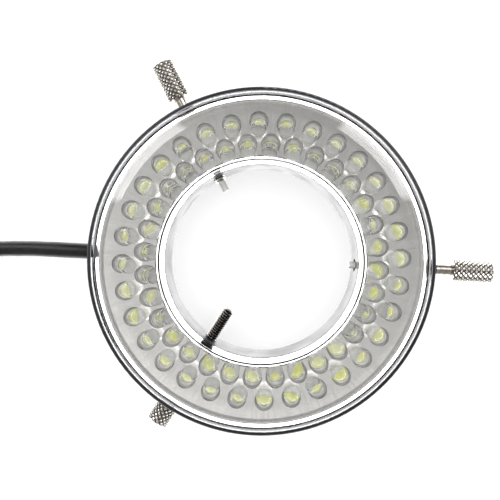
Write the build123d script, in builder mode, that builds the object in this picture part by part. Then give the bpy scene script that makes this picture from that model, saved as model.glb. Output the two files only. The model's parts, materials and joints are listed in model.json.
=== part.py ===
from build123d import *
from math import ceil, cos, dist, pi, radians, sin, sqrt, tan
import os

# Microscope ring light: a ring of LEDs under a clear cover, with a bore that slides over a microscope's
# objective housing and three thumbscrews that grip it. Lengths are millimetres. The ring lies on its back,
# its axis is Z, its rear plane is z = 0, and the LEDs face +Z. Angles are degrees round Z from +X.

# the ring, from the bore outwards
bore_radius = 30.5
housing_wall = 1.8
inner_row_offset = 4.67
row_spacing = 7.0
outer_row_offset = 3.73
ledge_width = 0.8
seat_overhang = 2.9
lip_width = 1.9
lip_height = 3.0
lip_rounding = 0.8
flange_thickness = 1.8
flange_slope = 2.4
bore_edge_chamfer = 0.5
outline_overrun = 1.0
soft_clearance = 0.1

# the heights over the cord and its clamp, from the rear plane upwards
clamp_screw_gap = 0.4
clamp_bite = 0.4
cord_web_gap = 0.3
web_thickness = 1.2
board_standoff = 1.1
seat_drop = 1.7
cover_depth = 10.0

# the rear plate and its countersunk screws
plate_thickness = 2.0
plate_clearance = 0.15
plate_screw_count = 4
plate_screw_angle = 42.0
plate_screw_radius = 1.25
plate_screw_head_radius = 2.3
plate_screw_length = 7.0
plate_boss_radius = 3.1
plate_hole_clearance = 0.2
thread_clearance = 0.02
recess_radius = 0.9
recess_depth = 0.7

# the clear front cover
cover_gap = 0.2
cover_wall = 2.0
cover_inner_wall = 0.9
cover_face_thickness = 1.5
shoulder_radius = 10.0
outer_shoulder_angle = 30.0
inner_shoulder_angle = 20.0
outer_edge_radius = 3.4
inner_edge_radius = 0.73
cover_foot_chamfer = 0.35
cavity_rounding = 1.6

# the LEDs, in an outer and an inner row of slanted lenses
led_count = 32
led_slant_angle = 27.0
outer_row_angle = 1.05
inner_row_angle = 6.7
led_sink = 0.1
lens_radius = 2.5
lens_length = 8.6
flange_lip = 0.4
flange_height = 1.0
lens_cavity_wall = 0.55
lens_cavity_depth = 4.9
lead_width = 0.5
lead_pitch = 2.54
lead_height = 4.4
lead_stub = 0.8
cup_radius = 1.0
cup_floor = 3.3
cup_height = 1.1
cup_mouth_radius = 0.85
cup_bottom_radius = 0.5
cup_recess = 0.6

# the reflector plate and the board
reflector_thickness = 0.5
reflector_inner_gap = 0.8
reflector_gap = 0.3
reflector_hole_clearance = 0.1
board_thickness = 1.6
board_inner_gap = 1.0
board_gap = 0.3
lead_hole_radius = 0.5
board_screw_count = 4
board_screw_inset = 2.1
board_screw_radius = 0.95
board_screw_head_radius = 1.6
board_screw_head_height = 1.2
board_screw_length = 6.0
board_boss_radius = 2.0
board_boss_depth = 2.5
board_post_count = 8
board_post_radius = 0.8
board_post_offset = 2.1
board_post_angle = 22.5
resistor_count = 16
resistor_length = 3.2
resistor_width = 1.6
resistor_height = 0.55
resistor_angle = 3.5

# the thumbscrews: name, angle, and how far the head stands off the housing as photographed
thumbscrew_places = [("right", -3.0, 12.6), ("upper_left", 117.0, 9.5), ("lower_left", 237.0, 0.2)]
screw_boss_radius = 4.2
pad_height = 0.3
stud_radius = 1.95
stud_past_bore = 10.9
stud_grip = 10.0
stud_running_clearance = 0.05
stud_neck_length = 5.5
stud_neck_groove = 0.2
stud_groove_width = 0.6
stud_end_chamfer = 0.4
head_radius = 3.75
head_length = 14.0
head_chamfer = 0.35
slot_width = 0.9
slot_depth = 1.5
tip_radius = 1.1
tip_length = 3.5
tip_rounding = 0.3
tip_peg_radius = 0.7
tip_peg_length = 2.4
tip_peg_clearance = 0.05
insert_radius = 2.8
insert_length = 8.0
insert_groove_depth = 0.25
insert_groove_width = 1.0

# the cord, its grommet and its clamp
cord_radius = 2.6
cord_angle = 177.0
cord_clearance = 0.05
cord_boss_wall = 0.8
cord_boss_depth = 2.7
grommet_wall = 0.9
grommet_flange_width = 0.7
grommet_inner_flange = 1.0
grommet_outer_flange = 1.2
grommet_nose_wall = 0.8
grommet_nose_length = 4.1
clamp_end = 2.4
clamp_width = 5.0
clamp_thickness = 1.7
clamp_screw_spacing = 11.2
clamp_screw_radius = 0.95
clamp_screw_head_radius = 1.7
clamp_screw_head_height = 1.2
clamp_screw_length = 6.0
clamp_post_radius = 2.2
wire_radius = 0.65
wire_spacing = 1.8
wire_room = 4.7
wire_rise_gap = 1.8
wire_bend_radius = 1.4
wire_hole_radius = 2.0

# the plug, along its own axis
plug_radius = 4.75
plug_boot_radius = 3.5
plug_boot_length = 8.0
plug_body_length = 17.0
plug_nose_radius = 3.9
plug_nose_length = 1.4
plug_rounding = 0.6
barrel_radius = 2.75
barrel_wall = 0.35
barrel_seat_width = 0.5
barrel_length = 9.5
contact_radius = 1.4
contact_bore_radius = 1.05
contact_seat = 4.0

# the cord's put-away coil, in two layers, left of where the photograph ends
coil_centre = (-132.0, -35.9)
coil_start_radius = 39.4
coil_turn_gap = 0.6
coil_layer_gap = 0.5
coil_turn_count_in = 3.25
coil_turn_count_out = 3.5

# the cord's points between the ring and the coil, and between the coil and the plug, with the straight
# runs that it makes square to the grommet and to the coil's two ends
lead_first_run = 12.2
lead_last_run = 16.0
tail_first_run = 14.0
cord_lead_points = [(-79.0, 3.95, 5.0), (-92.0, 3.7, 2.8)]
cord_tail_points = [(-167.5, -68.0, 5.9), (-157.6, -77.9, 3.5), (-144.7, -83.3, 4.05)]
plug_start = (-131.7, -83.3, plug_radius)

# radii that follow from these, from the bore outwards
inner_wall_radius = bore_radius + housing_wall
inner_row_radius = inner_wall_radius + inner_row_offset
outer_row_radius = inner_row_radius + row_spacing
wall_inside_radius = outer_row_radius + outer_row_offset
housing_radius = wall_inside_radius + housing_wall
pad_radius = housing_radius + pad_height
lip_inner_radius = housing_radius + seat_overhang
lip_outer_radius = lip_inner_radius + lip_width
cover_radius = lip_inner_radius - cover_gap
plate_screw_circle_radius = (inner_wall_radius + wall_inside_radius) / 2
flange_radius = lens_radius + flange_lip
cord_inner_end = inner_wall_radius + wire_room
cord_boss_inner_end = wall_inside_radius - cord_boss_depth
clamp_radius = (cord_inner_end + cord_boss_inner_end) / 2
grommet_radius = cord_radius + grommet_wall
grommet_flange_radius = grommet_radius + grommet_flange_width

# heights that follow from these, from the rear plane upwards
clamp_bottom = plate_thickness + clamp_screw_gap + clamp_screw_head_height
clamp_top = clamp_bottom + clamp_thickness
cord_height = clamp_top - clamp_bite + cord_radius
screw_axis_height = cord_height
web_bottom = cord_height + cord_radius + cord_web_gap
web_top = web_bottom + web_thickness
board_bottom = web_top + board_standoff
board_top = board_bottom + board_thickness
seat_height = board_top + seat_drop
led_base_height = seat_height - led_sink
overall_depth = seat_height + cover_depth


def radial_plane(angle, radius, height):
    """A plane across the ring's radius at this angle, facing outwards, with its own Y upwards."""
    c, s = cos(radians(angle)), sin(radians(angle))
    return Plane(origin=(radius * c, radius * s, height), x_dir=(-s, c, 0), z_dir=(c, s, 0))


def led_plane(row_radius):
    """The plane of an LED's base at angle 0, facing along the LED's slanted axis."""
    slant = radians(led_slant_angle)
    return Plane(origin=(row_radius, 0, led_base_height), x_dir=(0, 1, 0), z_dir=(-sin(slant), 0, cos(slant)))


def corners(sketch, *places):
    """The sketch's corners nearest these points."""
    return [sketch.vertices().sort_by_distance(place)[0] for place in places]


def turned(*outline):
    """One solid turned round Z from an outline of (radius, height) points."""
    with BuildPart() as piece:
        with BuildSketch(Plane.XZ):
            with BuildLine():
                Polyline(*outline, close=True)
            make_face()
        revolve(axis=Axis.Z)
    return piece.part


def pan_screw(head_radius, head_height, radius, length):
    """A pan-head screw along Z: its head's seat at 0, its shank below, a round driver recess on top."""
    return turned(
        (0, -length),
        (radius, -length),
        (radius, 0),
        (head_radius, 0),
        (head_radius, head_height / 2),
        (head_radius - head_height / 2, head_height),
        (recess_radius, head_height),
        (recess_radius, head_height - recess_depth),
        (0, head_height - recess_depth),
    )


def save(piece, name):
    """Labels a finished piece and writes it to its own file."""
    piece.part.label = name
    export_step(piece.part, f"parts/{name}.step")


os.makedirs("parts", exist_ok=True)

# housing: the black moulding, two walls joined by a web, with the lip that holds the cover
wall_ledge_radius = wall_inside_radius - ledge_width
inner_ledge_radius = inner_wall_radius + ledge_width
flange_bottom = seat_height - flange_thickness
board_screw_circle_radius = wall_inside_radius - board_screw_inset
board_post_circle_radius = inner_wall_radius + board_post_offset
wire_rise_radius = cord_inner_end - wire_rise_gap
with BuildPart() as housing:
    with BuildSketch(Plane.XZ) as housing_profile:
        with BuildLine():
            Polyline(
                (bore_radius, 0),
                (bore_radius, seat_height),
                (inner_wall_radius, seat_height),
                (inner_wall_radius, web_top),
                (wall_inside_radius, web_top),
                (wall_inside_radius, seat_height),
                (lip_inner_radius, seat_height),
                (lip_inner_radius, seat_height + lip_height),
                (lip_outer_radius, seat_height + lip_height),
                (lip_outer_radius, flange_bottom),
                (housing_radius, flange_bottom - flange_slope),
                (housing_radius, 0),
                (wall_inside_radius, 0),
                (wall_inside_radius, plate_thickness),
                (wall_ledge_radius, plate_thickness),
                (wall_ledge_radius, web_bottom),
                (inner_ledge_radius, web_bottom),
                (inner_ledge_radius, plate_thickness),
                (inner_wall_radius, plate_thickness),
                (inner_wall_radius, 0),
                close=True,
            )
        make_face()
        lip_top = seat_height + lip_height
        lip_corners = corners(housing_profile, (lip_inner_radius, lip_top), (lip_outer_radius, lip_top))
        fillet(lip_corners, lip_rounding)
        fillet(corners(housing_profile, (lip_outer_radius, flange_bottom)), lip_rounding)
        bore_corners = corners(housing_profile, (bore_radius, 0), (bore_radius, seat_height))
        chamfer(bore_corners, bore_edge_chamfer)
    revolve(axis=Axis.Z)
    for _, angle, _ in thumbscrew_places:
        with BuildSketch(radial_plane(angle, bore_radius + soft_clearance, screw_axis_height)):
            Circle(screw_boss_radius)
        extrude(amount=pad_radius - bore_radius - soft_clearance)
    with BuildSketch(radial_plane(cord_angle, cord_boss_inner_end, cord_height)):
        Circle(grommet_flange_radius + cord_boss_wall)
    extrude(amount=pad_radius - cord_boss_inner_end)
    with BuildSketch(Plane.XY.offset(plate_thickness)):
        with PolarLocations(plate_screw_circle_radius, plate_screw_count, start_angle=plate_screw_angle):
            Circle(plate_boss_radius)
    extrude(amount=web_top - plate_thickness)
    board_boss_bottom = web_bottom - board_boss_depth
    with BuildSketch(Plane.XY.offset(board_boss_bottom)):
        with PolarLocations(board_screw_circle_radius, board_screw_count, start_angle=inner_row_angle):
            Circle(board_boss_radius)
    extrude(amount=board_bottom - board_boss_bottom)
    with BuildSketch(Plane.XY.offset(web_bottom)):
        with PolarLocations(board_post_circle_radius, board_post_count, start_angle=board_post_angle):
            Circle(board_post_radius)
    extrude(amount=board_bottom - web_bottom)
    clamp_plane = Plane.XY.offset(clamp_top).rotated((0, 0, cord_angle))
    with BuildSketch(clamp_plane):
        with Locations((clamp_radius, -clamp_screw_spacing / 2), (clamp_radius, clamp_screw_spacing / 2)):
            Circle(clamp_post_radius)
    extrude(amount=web_top - clamp_top)
    for _, angle, _ in thumbscrew_places:
        with BuildSketch(radial_plane(angle, bore_radius - outline_overrun, screw_axis_height)):
            Circle(stud_radius + plate_hole_clearance)
        extrude(amount=housing_radius - bore_radius, mode=Mode.SUBTRACT)
        with BuildSketch(radial_plane(angle, pad_radius - insert_length, screw_axis_height)):
            Circle(insert_radius + thread_clearance)
        extrude(amount=insert_length + outline_overrun, mode=Mode.SUBTRACT)
    with BuildSketch(radial_plane(cord_angle, cord_boss_inner_end - outline_overrun, cord_height)):
        Circle(grommet_radius + soft_clearance)
    extrude(amount=pad_radius - cord_boss_inner_end + 2 * outline_overrun, mode=Mode.SUBTRACT)
    with BuildSketch(radial_plane(cord_angle, cord_boss_inner_end, cord_height)):
        Circle(grommet_flange_radius + soft_clearance)
    extrude(amount=-grommet_inner_flange - 3 * soft_clearance, mode=Mode.SUBTRACT)
    with BuildSketch(Plane.XY.offset(plate_thickness)):
        with PolarLocations(plate_screw_circle_radius, plate_screw_count, start_angle=plate_screw_angle):
            Circle(plate_screw_radius + thread_clearance)
    extrude(amount=plate_screw_length - plate_thickness + thread_clearance, mode=Mode.SUBTRACT)
    board_hole_bottom = board_top - board_screw_length - thread_clearance
    with BuildSketch(Plane.XY.offset(board_hole_bottom)):
        with PolarLocations(board_screw_circle_radius, board_screw_count, start_angle=inner_row_angle):
            Circle(board_screw_radius + thread_clearance)
    extrude(amount=board_bottom - board_hole_bottom, mode=Mode.SUBTRACT)
    with BuildSketch(clamp_plane):
        with Locations((clamp_radius, -clamp_screw_spacing / 2), (clamp_radius, clamp_screw_spacing / 2)):
            Circle(clamp_screw_radius + thread_clearance)
    clamp_screw_end = clamp_bottom + clamp_screw_length
    extrude(amount=clamp_screw_end - clamp_top + thread_clearance, mode=Mode.SUBTRACT)
    with BuildSketch(Plane.XY.offset(web_bottom).rotated((0, 0, cord_angle))):
        with Locations((wire_rise_radius, 0)):
            Circle(wire_hole_radius)
    extrude(amount=web_thickness, mode=Mode.SUBTRACT)
save(housing, "housing")

# rear plate: closes the back between the two walls, flush with their edges
with BuildPart() as rear_plate:
    with BuildSketch():
        Circle(wall_inside_radius - plate_clearance)
        Circle(inner_wall_radius + plate_clearance, mode=Mode.SUBTRACT)
    extrude(amount=plate_thickness)
    with Locations(Plane(origin=(0, 0, 0), x_dir=(1, 0, 0), z_dir=(0, 0, -1))):
        with PolarLocations(plate_screw_circle_radius, plate_screw_count, start_angle=-plate_screw_angle):
            CounterSinkHole(
                radius=plate_screw_radius + plate_hole_clearance,
                counter_sink_radius=plate_screw_head_radius + plate_hole_clearance,
                counter_sink_angle=90,
            )
save(rear_plate, "rear_plate")

# rear plate screws: flat heads flush with the back, each with a round driver recess
plate_screw = turned(
    (0, recess_depth),
    (recess_radius, recess_depth),
    (recess_radius, 0),
    (plate_screw_head_radius, 0),
    (plate_screw_radius, plate_screw_head_radius - plate_screw_radius),
    (plate_screw_radius, plate_screw_length),
    (0, plate_screw_length),
)
with BuildPart() as rear_plate_screws:
    with PolarLocations(plate_screw_circle_radius, plate_screw_count, start_angle=plate_screw_angle):
        add(plate_screw)
save(rear_plate_screws, "rear_plate_screws")

# front cover: one clear moulding, a domed face between an outer wall and a thin wall round the bore
cavity_top = overall_depth - cover_face_thickness
cavity_outer_radius = cover_radius - cover_wall
cavity_inner_radius = bore_radius + cover_inner_wall
outer_slope, inner_slope = radians(outer_shoulder_angle), radians(inner_shoulder_angle)
face_outer_radius = cover_radius - outer_edge_radius * (1 - sin(outer_slope)) - shoulder_radius * sin(outer_slope)
face_inner_radius = bore_radius + inner_edge_radius * (1 - sin(inner_slope)) + shoulder_radius * sin(inner_slope)
with BuildPart() as front_cover:
    with BuildSketch(Plane.XZ) as cover_profile:
        with BuildLine():
            face = Line((face_inner_radius, overall_depth), (face_outer_radius, overall_depth))
            outer_shoulder = JernArc(face @ 1, (1, 0), shoulder_radius, -outer_shoulder_angle)
            outer_edge = JernArc(
                outer_shoulder @ 1, outer_shoulder % 1, outer_edge_radius, outer_shoulder_angle - 90
            )
            inner_shoulder = JernArc(face @ 0, (-1, 0), shoulder_radius, inner_shoulder_angle)
            inner_edge = JernArc(
                inner_shoulder @ 1, inner_shoulder % 1, inner_edge_radius, 90 - inner_shoulder_angle
            )
            Polyline(
                outer_edge @ 1,
                (cover_radius, seat_height),
                (cavity_outer_radius, seat_height),
                (cavity_outer_radius, cavity_top),
                (cavity_inner_radius, cavity_top),
                (cavity_inner_radius, seat_height),
                (bore_radius + cover_foot_chamfer, seat_height),
                (bore_radius, seat_height + cover_foot_chamfer),
                inner_edge @ 1,
            )
        make_face()
        inner_corner, outer_corner = corners(
            cover_profile, (cavity_inner_radius, cavity_top), (cavity_outer_radius, cavity_top)
        )
        fillet(inner_corner, cover_inner_wall)
        fillet(outer_corner, cover_wall + cavity_rounding)
    revolve(axis=Axis.Z)
save(front_cover, "front_cover")

# one LED of each row, on the +X side: its lens, the two leads inside it, and the phosphor in its cup
led_rows = [("outer", outer_row_radius, outer_row_angle), ("inner", inner_row_radius, inner_row_angle)]
lens_top = lens_length - lens_radius
with BuildPart() as lens:
    with BuildSketch(Plane.XZ):
        with BuildLine():
            lens_outline = Polyline(
                (0, lens_cavity_depth),
                (lens_radius - lens_cavity_wall, lens_cavity_depth),
                (lens_radius - lens_cavity_wall, 0),
                (flange_radius, 0),
                (flange_radius, flange_height),
                (lens_radius, flange_height),
                (lens_radius, lens_top),
            )
            RadiusArc(lens_outline @ 1, (0, lens_length), -lens_radius)
            Line((0, lens_length), lens_outline @ 0)
        make_face()
    revolve(axis=Axis.Z)

cup_top = cup_floor + cup_height
with BuildPart() as cup_lead:
    with BuildSketch(Plane.XY.offset(-lead_width / 2)):
        with Locations((-lead_pitch / 2, 0)):
            Rectangle(lead_width, lead_width)
    extrude(amount=cup_top + lead_width / 2)
    with BuildSketch(Plane.XY.offset(cup_floor)):
        Circle(cup_radius)
    extrude(amount=cup_height)
    with BuildSketch(Plane.XY.offset(cup_floor)):
        with Locations((-lead_pitch / 4, 0)):
            Rectangle(lead_pitch / 2, lead_width)
    extrude(amount=cup_height - cup_recess)
    with BuildSketch(Plane.XY.offset(cup_top - cup_recess)):
        Circle(cup_bottom_radius)
    with BuildSketch(Plane.XY.offset(cup_top)):
        Circle(cup_mouth_radius)
    loft(mode=Mode.SUBTRACT)

with BuildPart() as anvil_lead:
    with BuildSketch(Plane.XY.offset(-lead_width / 2)):
        with Locations((lead_pitch / 2, 0)):
            Rectangle(lead_width, lead_width)
    extrude(amount=lead_height + lead_width / 2)

with BuildPart() as phosphor:
    with BuildSketch(Plane.XY.offset(cup_top - cup_recess)):
        Circle(cup_bottom_radius)
    with BuildSketch(Plane.XY.offset(cup_top)):
        Circle(cup_mouth_radius)
    loft()


def leg(row_radius, side):
    """The part of a lead that runs straight down through the board, at the +X side of the ring."""
    leg_end = board_bottom - lead_stub
    with BuildPart() as piece:
        with BuildSketch(Plane.XY.offset(leg_end)):
            with Locations((row_radius, side * lead_pitch / 2)):
                Rectangle(lead_width, lead_width)
        extrude(amount=led_base_height - leg_end)
    return piece.part


for row, row_radius, row_angle in led_rows:
    with BuildPart() as lenses:
        with PolarLocations(0, led_count, start_angle=row_angle):
            with Locations(led_plane(row_radius)):
                add(lens.part)
    save(lenses, f"{row}_led_lenses")

for row, row_radius, row_angle in led_rows:
    cathode_leg, anode_leg = leg(row_radius, -1), leg(row_radius, 1)
    with BuildPart() as cathode:
        with Locations(led_plane(row_radius)):
            add(cup_lead.part)
        add(cathode_leg)
    with BuildPart() as anode:
        with Locations(led_plane(row_radius)):
            add(anvil_lead.part)
        add(anode_leg)
    with BuildPart() as leads:
        with PolarLocations(0, led_count, start_angle=row_angle):
            add(cathode.part)
            add(anode.part)
    save(leads, f"{row}_led_leads")

with BuildPart() as led_phosphors:
    for row, row_radius, row_angle in led_rows:
        with PolarLocations(0, led_count, start_angle=row_angle):
            with Locations(led_plane(row_radius)):
                add(phosphor.part)
save(led_phosphors, "led_phosphors")

# reflector plate: thin bright sheet over the board, with a slanted hole round each LED
reflector_outer_radius = cavity_outer_radius - reflector_gap
with BuildPart() as reflector_plate:
    with BuildSketch(Plane.XY.offset(seat_height)):
        Circle(reflector_outer_radius)
        Circle(inner_wall_radius + reflector_inner_gap, mode=Mode.SUBTRACT)
    extrude(amount=reflector_thickness)
    for _, row_radius, row_angle in led_rows:
        with PolarLocations(0, led_count, start_angle=row_angle):
            with Locations(led_plane(row_radius)):
                Cylinder(flange_radius + reflector_hole_clearance, lens_length, mode=Mode.SUBTRACT)
save(reflector_plate, "reflector_plate")

# board: the ring that carries the LEDs, drilled for their legs and for its own screws
with BuildPart() as led_board:
    with BuildSketch(Plane.XY.offset(board_bottom)):
        Circle(wall_inside_radius - board_gap)
        Circle(inner_wall_radius + board_inner_gap, mode=Mode.SUBTRACT)
        for _, row_radius, row_angle in led_rows:
            with PolarLocations(0, led_count, start_angle=row_angle):
                with Locations((row_radius, -lead_pitch / 2), (row_radius, lead_pitch / 2)):
                    Circle(lead_hole_radius, mode=Mode.SUBTRACT)
        with PolarLocations(board_screw_circle_radius, board_screw_count, start_angle=inner_row_angle):
            Circle(board_screw_radius + plate_hole_clearance, mode=Mode.SUBTRACT)
    extrude(amount=board_thickness)
save(led_board, "led_board")

board_screw = pan_screw(board_screw_head_radius, board_screw_head_height, board_screw_radius, board_screw_length)
with BuildPart() as board_screws:
    with PolarLocations(0, board_screw_count, start_angle=inner_row_angle):
        with Locations((board_screw_circle_radius, 0, board_top)):
            add(board_screw)
save(board_screws, "board_screws")

# limiting resistors: chips under the board, one for each string of LEDs
resistor_circle_radius = (inner_row_radius + outer_row_radius) / 2
with BuildPart() as limiting_resistors:
    with PolarLocations(0, resistor_count, start_angle=resistor_angle):
        with Locations((resistor_circle_radius, 0, board_bottom - resistor_height / 2)):
            Box(resistor_length, resistor_width, resistor_height)
save(limiting_resistors, "limiting_resistors")

# thread inserts: grooved brass tubes at the outer ends of the screw bosses
thread_insert = turned(
    (stud_radius + stud_running_clearance, -insert_length),
    (insert_radius, -insert_length),
    (insert_radius, -(insert_length + insert_groove_width) / 2),
    (insert_radius - insert_groove_depth, -(insert_length + insert_groove_width) / 2),
    (insert_radius - insert_groove_depth, -(insert_length - insert_groove_width) / 2),
    (insert_radius, -(insert_length - insert_groove_width) / 2),
    (insert_radius, 0),
    (stud_radius + stud_running_clearance, 0),
)
with BuildPart() as thread_inserts:
    for _, angle, _ in thumbscrew_places:
        with Locations(radial_plane(angle, pad_radius, screw_axis_height)):
            add(thread_insert)
save(thread_inserts, "thread_inserts")

# thumbscrews: a knurled head fixed on a stud, and a nylon tip that swivels in the stud's end
tip_hole_radius = tip_peg_radius + tip_peg_clearance
tip_hole_depth = tip_peg_length + tip_peg_clearance
stud_tail = bore_radius - pad_radius - stud_past_bore
neck_start = -stud_neck_length
stud = turned(
    (0, stud_grip),
    (stud_radius, stud_grip),
    (stud_radius, neck_start),
    (stud_radius - stud_neck_groove, neck_start),
    (stud_radius - stud_neck_groove, neck_start - stud_groove_width),
    (stud_radius, neck_start - stud_groove_width),
    (stud_radius, stud_tail + stud_end_chamfer),
    (stud_radius - stud_end_chamfer, stud_tail),
    (tip_hole_radius, stud_tail),
    (tip_hole_radius, stud_tail + tip_hole_depth),
    (0, stud_tail + tip_hole_depth),
)
tip_end = stud_tail - tip_peg_clearance - tip_length
with BuildPart() as tip:
    with BuildSketch(Plane.XY.offset(tip_end)):
        Circle(tip_radius)
    extrude(amount=tip_length)
    fillet(tip.edges().sort_by(Axis.Z)[0], tip_rounding)
    with BuildSketch(Plane.XY.offset(tip_end + tip_length)):
        Circle(tip_peg_radius)
    extrude(amount=tip_peg_length)
with BuildPart() as head:
    with BuildSketch():
        Circle(head_radius)
    extrude(amount=head_length)
    chamfer(head.edges().filter_by(GeomType.CIRCLE), head_chamfer)
    with BuildSketch():
        Circle(stud_radius + thread_clearance)
    extrude(amount=stud_grip + thread_clearance, mode=Mode.SUBTRACT)
    with BuildSketch(Plane.XY.offset(head_length - slot_depth)):
        Rectangle(slot_width, 2 * (head_radius + outline_overrun))
    extrude(amount=slot_depth, mode=Mode.SUBTRACT)

for side, angle, standoff in thumbscrew_places:
    seat = radial_plane(angle, pad_radius + standoff, screw_axis_height)
    with BuildPart() as screw_head:
        with Locations(seat):
            add(head.part)
    with BuildPart() as screw_stud:
        with Locations(seat):
            add(stud)
    with BuildPart() as screw_tip:
        with Locations(seat):
            add(tip.part)
    save(screw_head, f"{side}_screw_head")
    save(screw_stud, f"{side}_screw_stud")
    save(screw_tip, f"{side}_screw_tip")

# cord grommet: a rubber bush through the housing's wall, flanged on both sides, with a short tapered nose
flange_inner_face = cord_boss_inner_end - pad_radius - soft_clearance
cord_hole_radius = cord_radius + cord_clearance
grommet_end = pad_radius + grommet_nose_length
grommet = turned(
    (cord_hole_radius, flange_inner_face - grommet_inner_flange),
    (grommet_flange_radius, flange_inner_face - grommet_inner_flange),
    (grommet_flange_radius, flange_inner_face),
    (grommet_radius, flange_inner_face),
    (grommet_radius, soft_clearance),
    (grommet_flange_radius, soft_clearance),
    (grommet_flange_radius, soft_clearance + grommet_outer_flange),
    (cord_radius + grommet_nose_wall, grommet_nose_length),
    (cord_hole_radius, grommet_nose_length),
)
with BuildPart() as cord_grommet:
    with Locations(radial_plane(cord_angle, pad_radius, cord_height)):
        add(grommet)
save(cord_grommet, "cord_grommet")

# cord inside the ring: from the end of its jacket, through the clamp and the grommet
with BuildPart() as cord_entry:
    with BuildSketch(radial_plane(cord_angle, cord_inner_end, cord_height)):
        Circle(cord_radius)
    extrude(amount=grommet_end - cord_inner_end)
save(cord_entry, "cord_entry")

cord_way = (cos(radians(cord_angle)), sin(radians(cord_angle)), 0)

# cord clamp: a bar across the cord, held to the web's posts by two screws from the rear
with BuildPart() as cord_clamp:
    with BuildSketch(Plane.XY.offset(clamp_bottom).rotated((0, 0, cord_angle))):
        with Locations((clamp_radius, 0)):
            SlotOverall(clamp_screw_spacing + 2 * clamp_end, clamp_width, rotation=90)
        with Locations((clamp_radius, -clamp_screw_spacing / 2), (clamp_radius, clamp_screw_spacing / 2)):
            Circle(clamp_screw_radius + plate_hole_clearance, mode=Mode.SUBTRACT)
    extrude(amount=clamp_thickness)
    with BuildSketch(radial_plane(cord_angle, clamp_radius - clamp_width, cord_height)):
        Circle(cord_hole_radius)
    extrude(amount=2 * clamp_width, mode=Mode.SUBTRACT)
save(cord_clamp, "cord_clamp")

clamp_screw = pan_screw(clamp_screw_head_radius, clamp_screw_head_height, clamp_screw_radius, clamp_screw_length)
clamp_screw_plane = Plane(origin=(0, 0, clamp_bottom), x_dir=cord_way, z_dir=(0, 0, -1))
with BuildPart() as clamp_screws:
    with Locations(clamp_screw_plane):
        with Locations((clamp_radius, -clamp_screw_spacing / 2), (clamp_radius, clamp_screw_spacing / 2)):
            add(clamp_screw)
save(clamp_screws, "clamp_screws")

# wires: from the cord's end, up through the web, to the underside of the board
wire_names = [("positive_wire", -wire_spacing / 2), ("negative_wire", wire_spacing / 2)]
wire_plane = Plane(origin=(0, 0, 0), x_dir=cord_way)
for wire_name, wire_offset in wire_names:
    wire_start = wire_plane.from_local_coords((cord_inner_end, wire_offset, cord_height))
    wire_corner = wire_plane.from_local_coords((wire_rise_radius, wire_offset, cord_height))
    wire_end = wire_plane.from_local_coords((wire_rise_radius, wire_offset, board_bottom))
    with BuildPart() as wire:
        with BuildLine() as wire_path:
            FilletPolyline(wire_start, wire_corner, wire_end, radius=wire_bend_radius)
        with BuildSketch(Plane(origin=wire_path.line @ 0, z_dir=wire_path.line % 0)):
            Circle(wire_radius)
        sweep()
    save(wire, wire_name)


def bend_radii(points):
    """For each corner of a cord's route, the largest arc that its two runs allow."""
    radii = []
    for before, corner, after in zip(points, points[1:], points[2:]):
        turn = (Vector(*corner) - Vector(*before)).get_angle(Vector(*after) - Vector(*corner))
        run = min(dist(before, corner), dist(corner, after))
        radii.append(0.45 * run / tan(radians(turn) / 2))
    return radii


def cord_along(points, name):
    """A free stretch of cord: straight runs joined by arcs. Prints its bends and compares its volume."""
    radii = bend_radii(points)
    with BuildPart() as stretch:
        with BuildLine() as route:
            FilletPolyline(*points, radius=radii)
        with BuildSketch(Plane(origin=route.line @ 0, z_dir=route.line % 0)):
            Circle(cord_radius)
        sweep()
    save(stretch, name)
    length = route.wires()[0].length
    print(f"{name}: length {length:.1f}, bends {[round(r, 1) for r in radii]}")
    print(f"{name}: volume {stretch.part.volume:.1f} for {pi * cord_radius ** 2 * length:.1f}")
    return length


def biarc_middle(start, start_way, end, end_way):
    """Where two arcs from start to end meet, with the way they head there, so that both ends keep theirs."""
    across = end - start
    ways = start_way + end_way
    half = 2 * (1 - start_way.dot(end_way))
    inward = across.dot(ways)
    reach = (sqrt(inward**2 + half * across.dot(across)) - inward) / half
    first, second = start + start_way * reach, end - end_way * reach
    return (first + second) / 2, (second - first).normalized()


cord_diameter = 2 * cord_radius


def coil_places():
    """The coil's centreline a quarter turn at a time: each place, with the way the cord heads there."""
    places, quarter, growth = [], pi / 2, (cord_diameter + coil_turn_gap) / (2 * pi)
    radius, angle, height = coil_start_radius, quarter, cord_radius
    steps_in, steps_out = round(4 * coil_turn_count_in), round(4 * coil_turn_count_out)
    steps = [(0, 0, 0)] + [(-growth, quarter, 0)] * steps_in + [(0, 2 * quarter, cord_diameter + coil_layer_gap)]
    steps += [(growth, quarter, 0)] * steps_out
    for step, (rate, turn, climb) in enumerate(steps):
        radius, angle, height = radius + rate * turn, angle + turn, height + climb
        outward, along = Vector(cos(angle), sin(angle), 0), Vector(-sin(angle), cos(angle), 0)
        drift = 0 if step in (0, len(steps) - 1) else -growth if step <= steps_in else growth
        place = Vector(*coil_centre, height) + outward * radius
        places.append((place, (along * radius + outward * drift).normalized()))
    return places


# the coil: one tube, spiralling in on the surface, climbing a layer, and spiralling out on top
places = coil_places()
coil_in = places[0][0] - places[0][1] * cord_diameter
coil_out = places[-1][0] + places[-1][1] * cord_diameter
with BuildPart() as cord_coil:
    with BuildLine() as coil_route:
        Line(coil_in, places[0][0])
        for (start, start_way), (end, end_way) in zip(places, places[1:]):
            middle, middle_way = biarc_middle(start, start_way, end, end_way)
            TangentArc(start, middle, tangent=start_way)
            TangentArc(middle, end, tangent=middle_way)
        Line(places[-1][0], coil_out)
    with BuildSketch(Plane(origin=coil_in, z_dir=places[0][1])):
        Circle(cord_radius)
    sweep()
save(cord_coil, "cord_coil")
coil_length = coil_route.wires()[0].length
print(f"cord_coil: length {coil_length:.1f}, volume {cord_coil.part.volume:.1f}", end=" ")
print(f"for {pi * cord_radius ** 2 * coil_length:.1f}")

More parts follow.
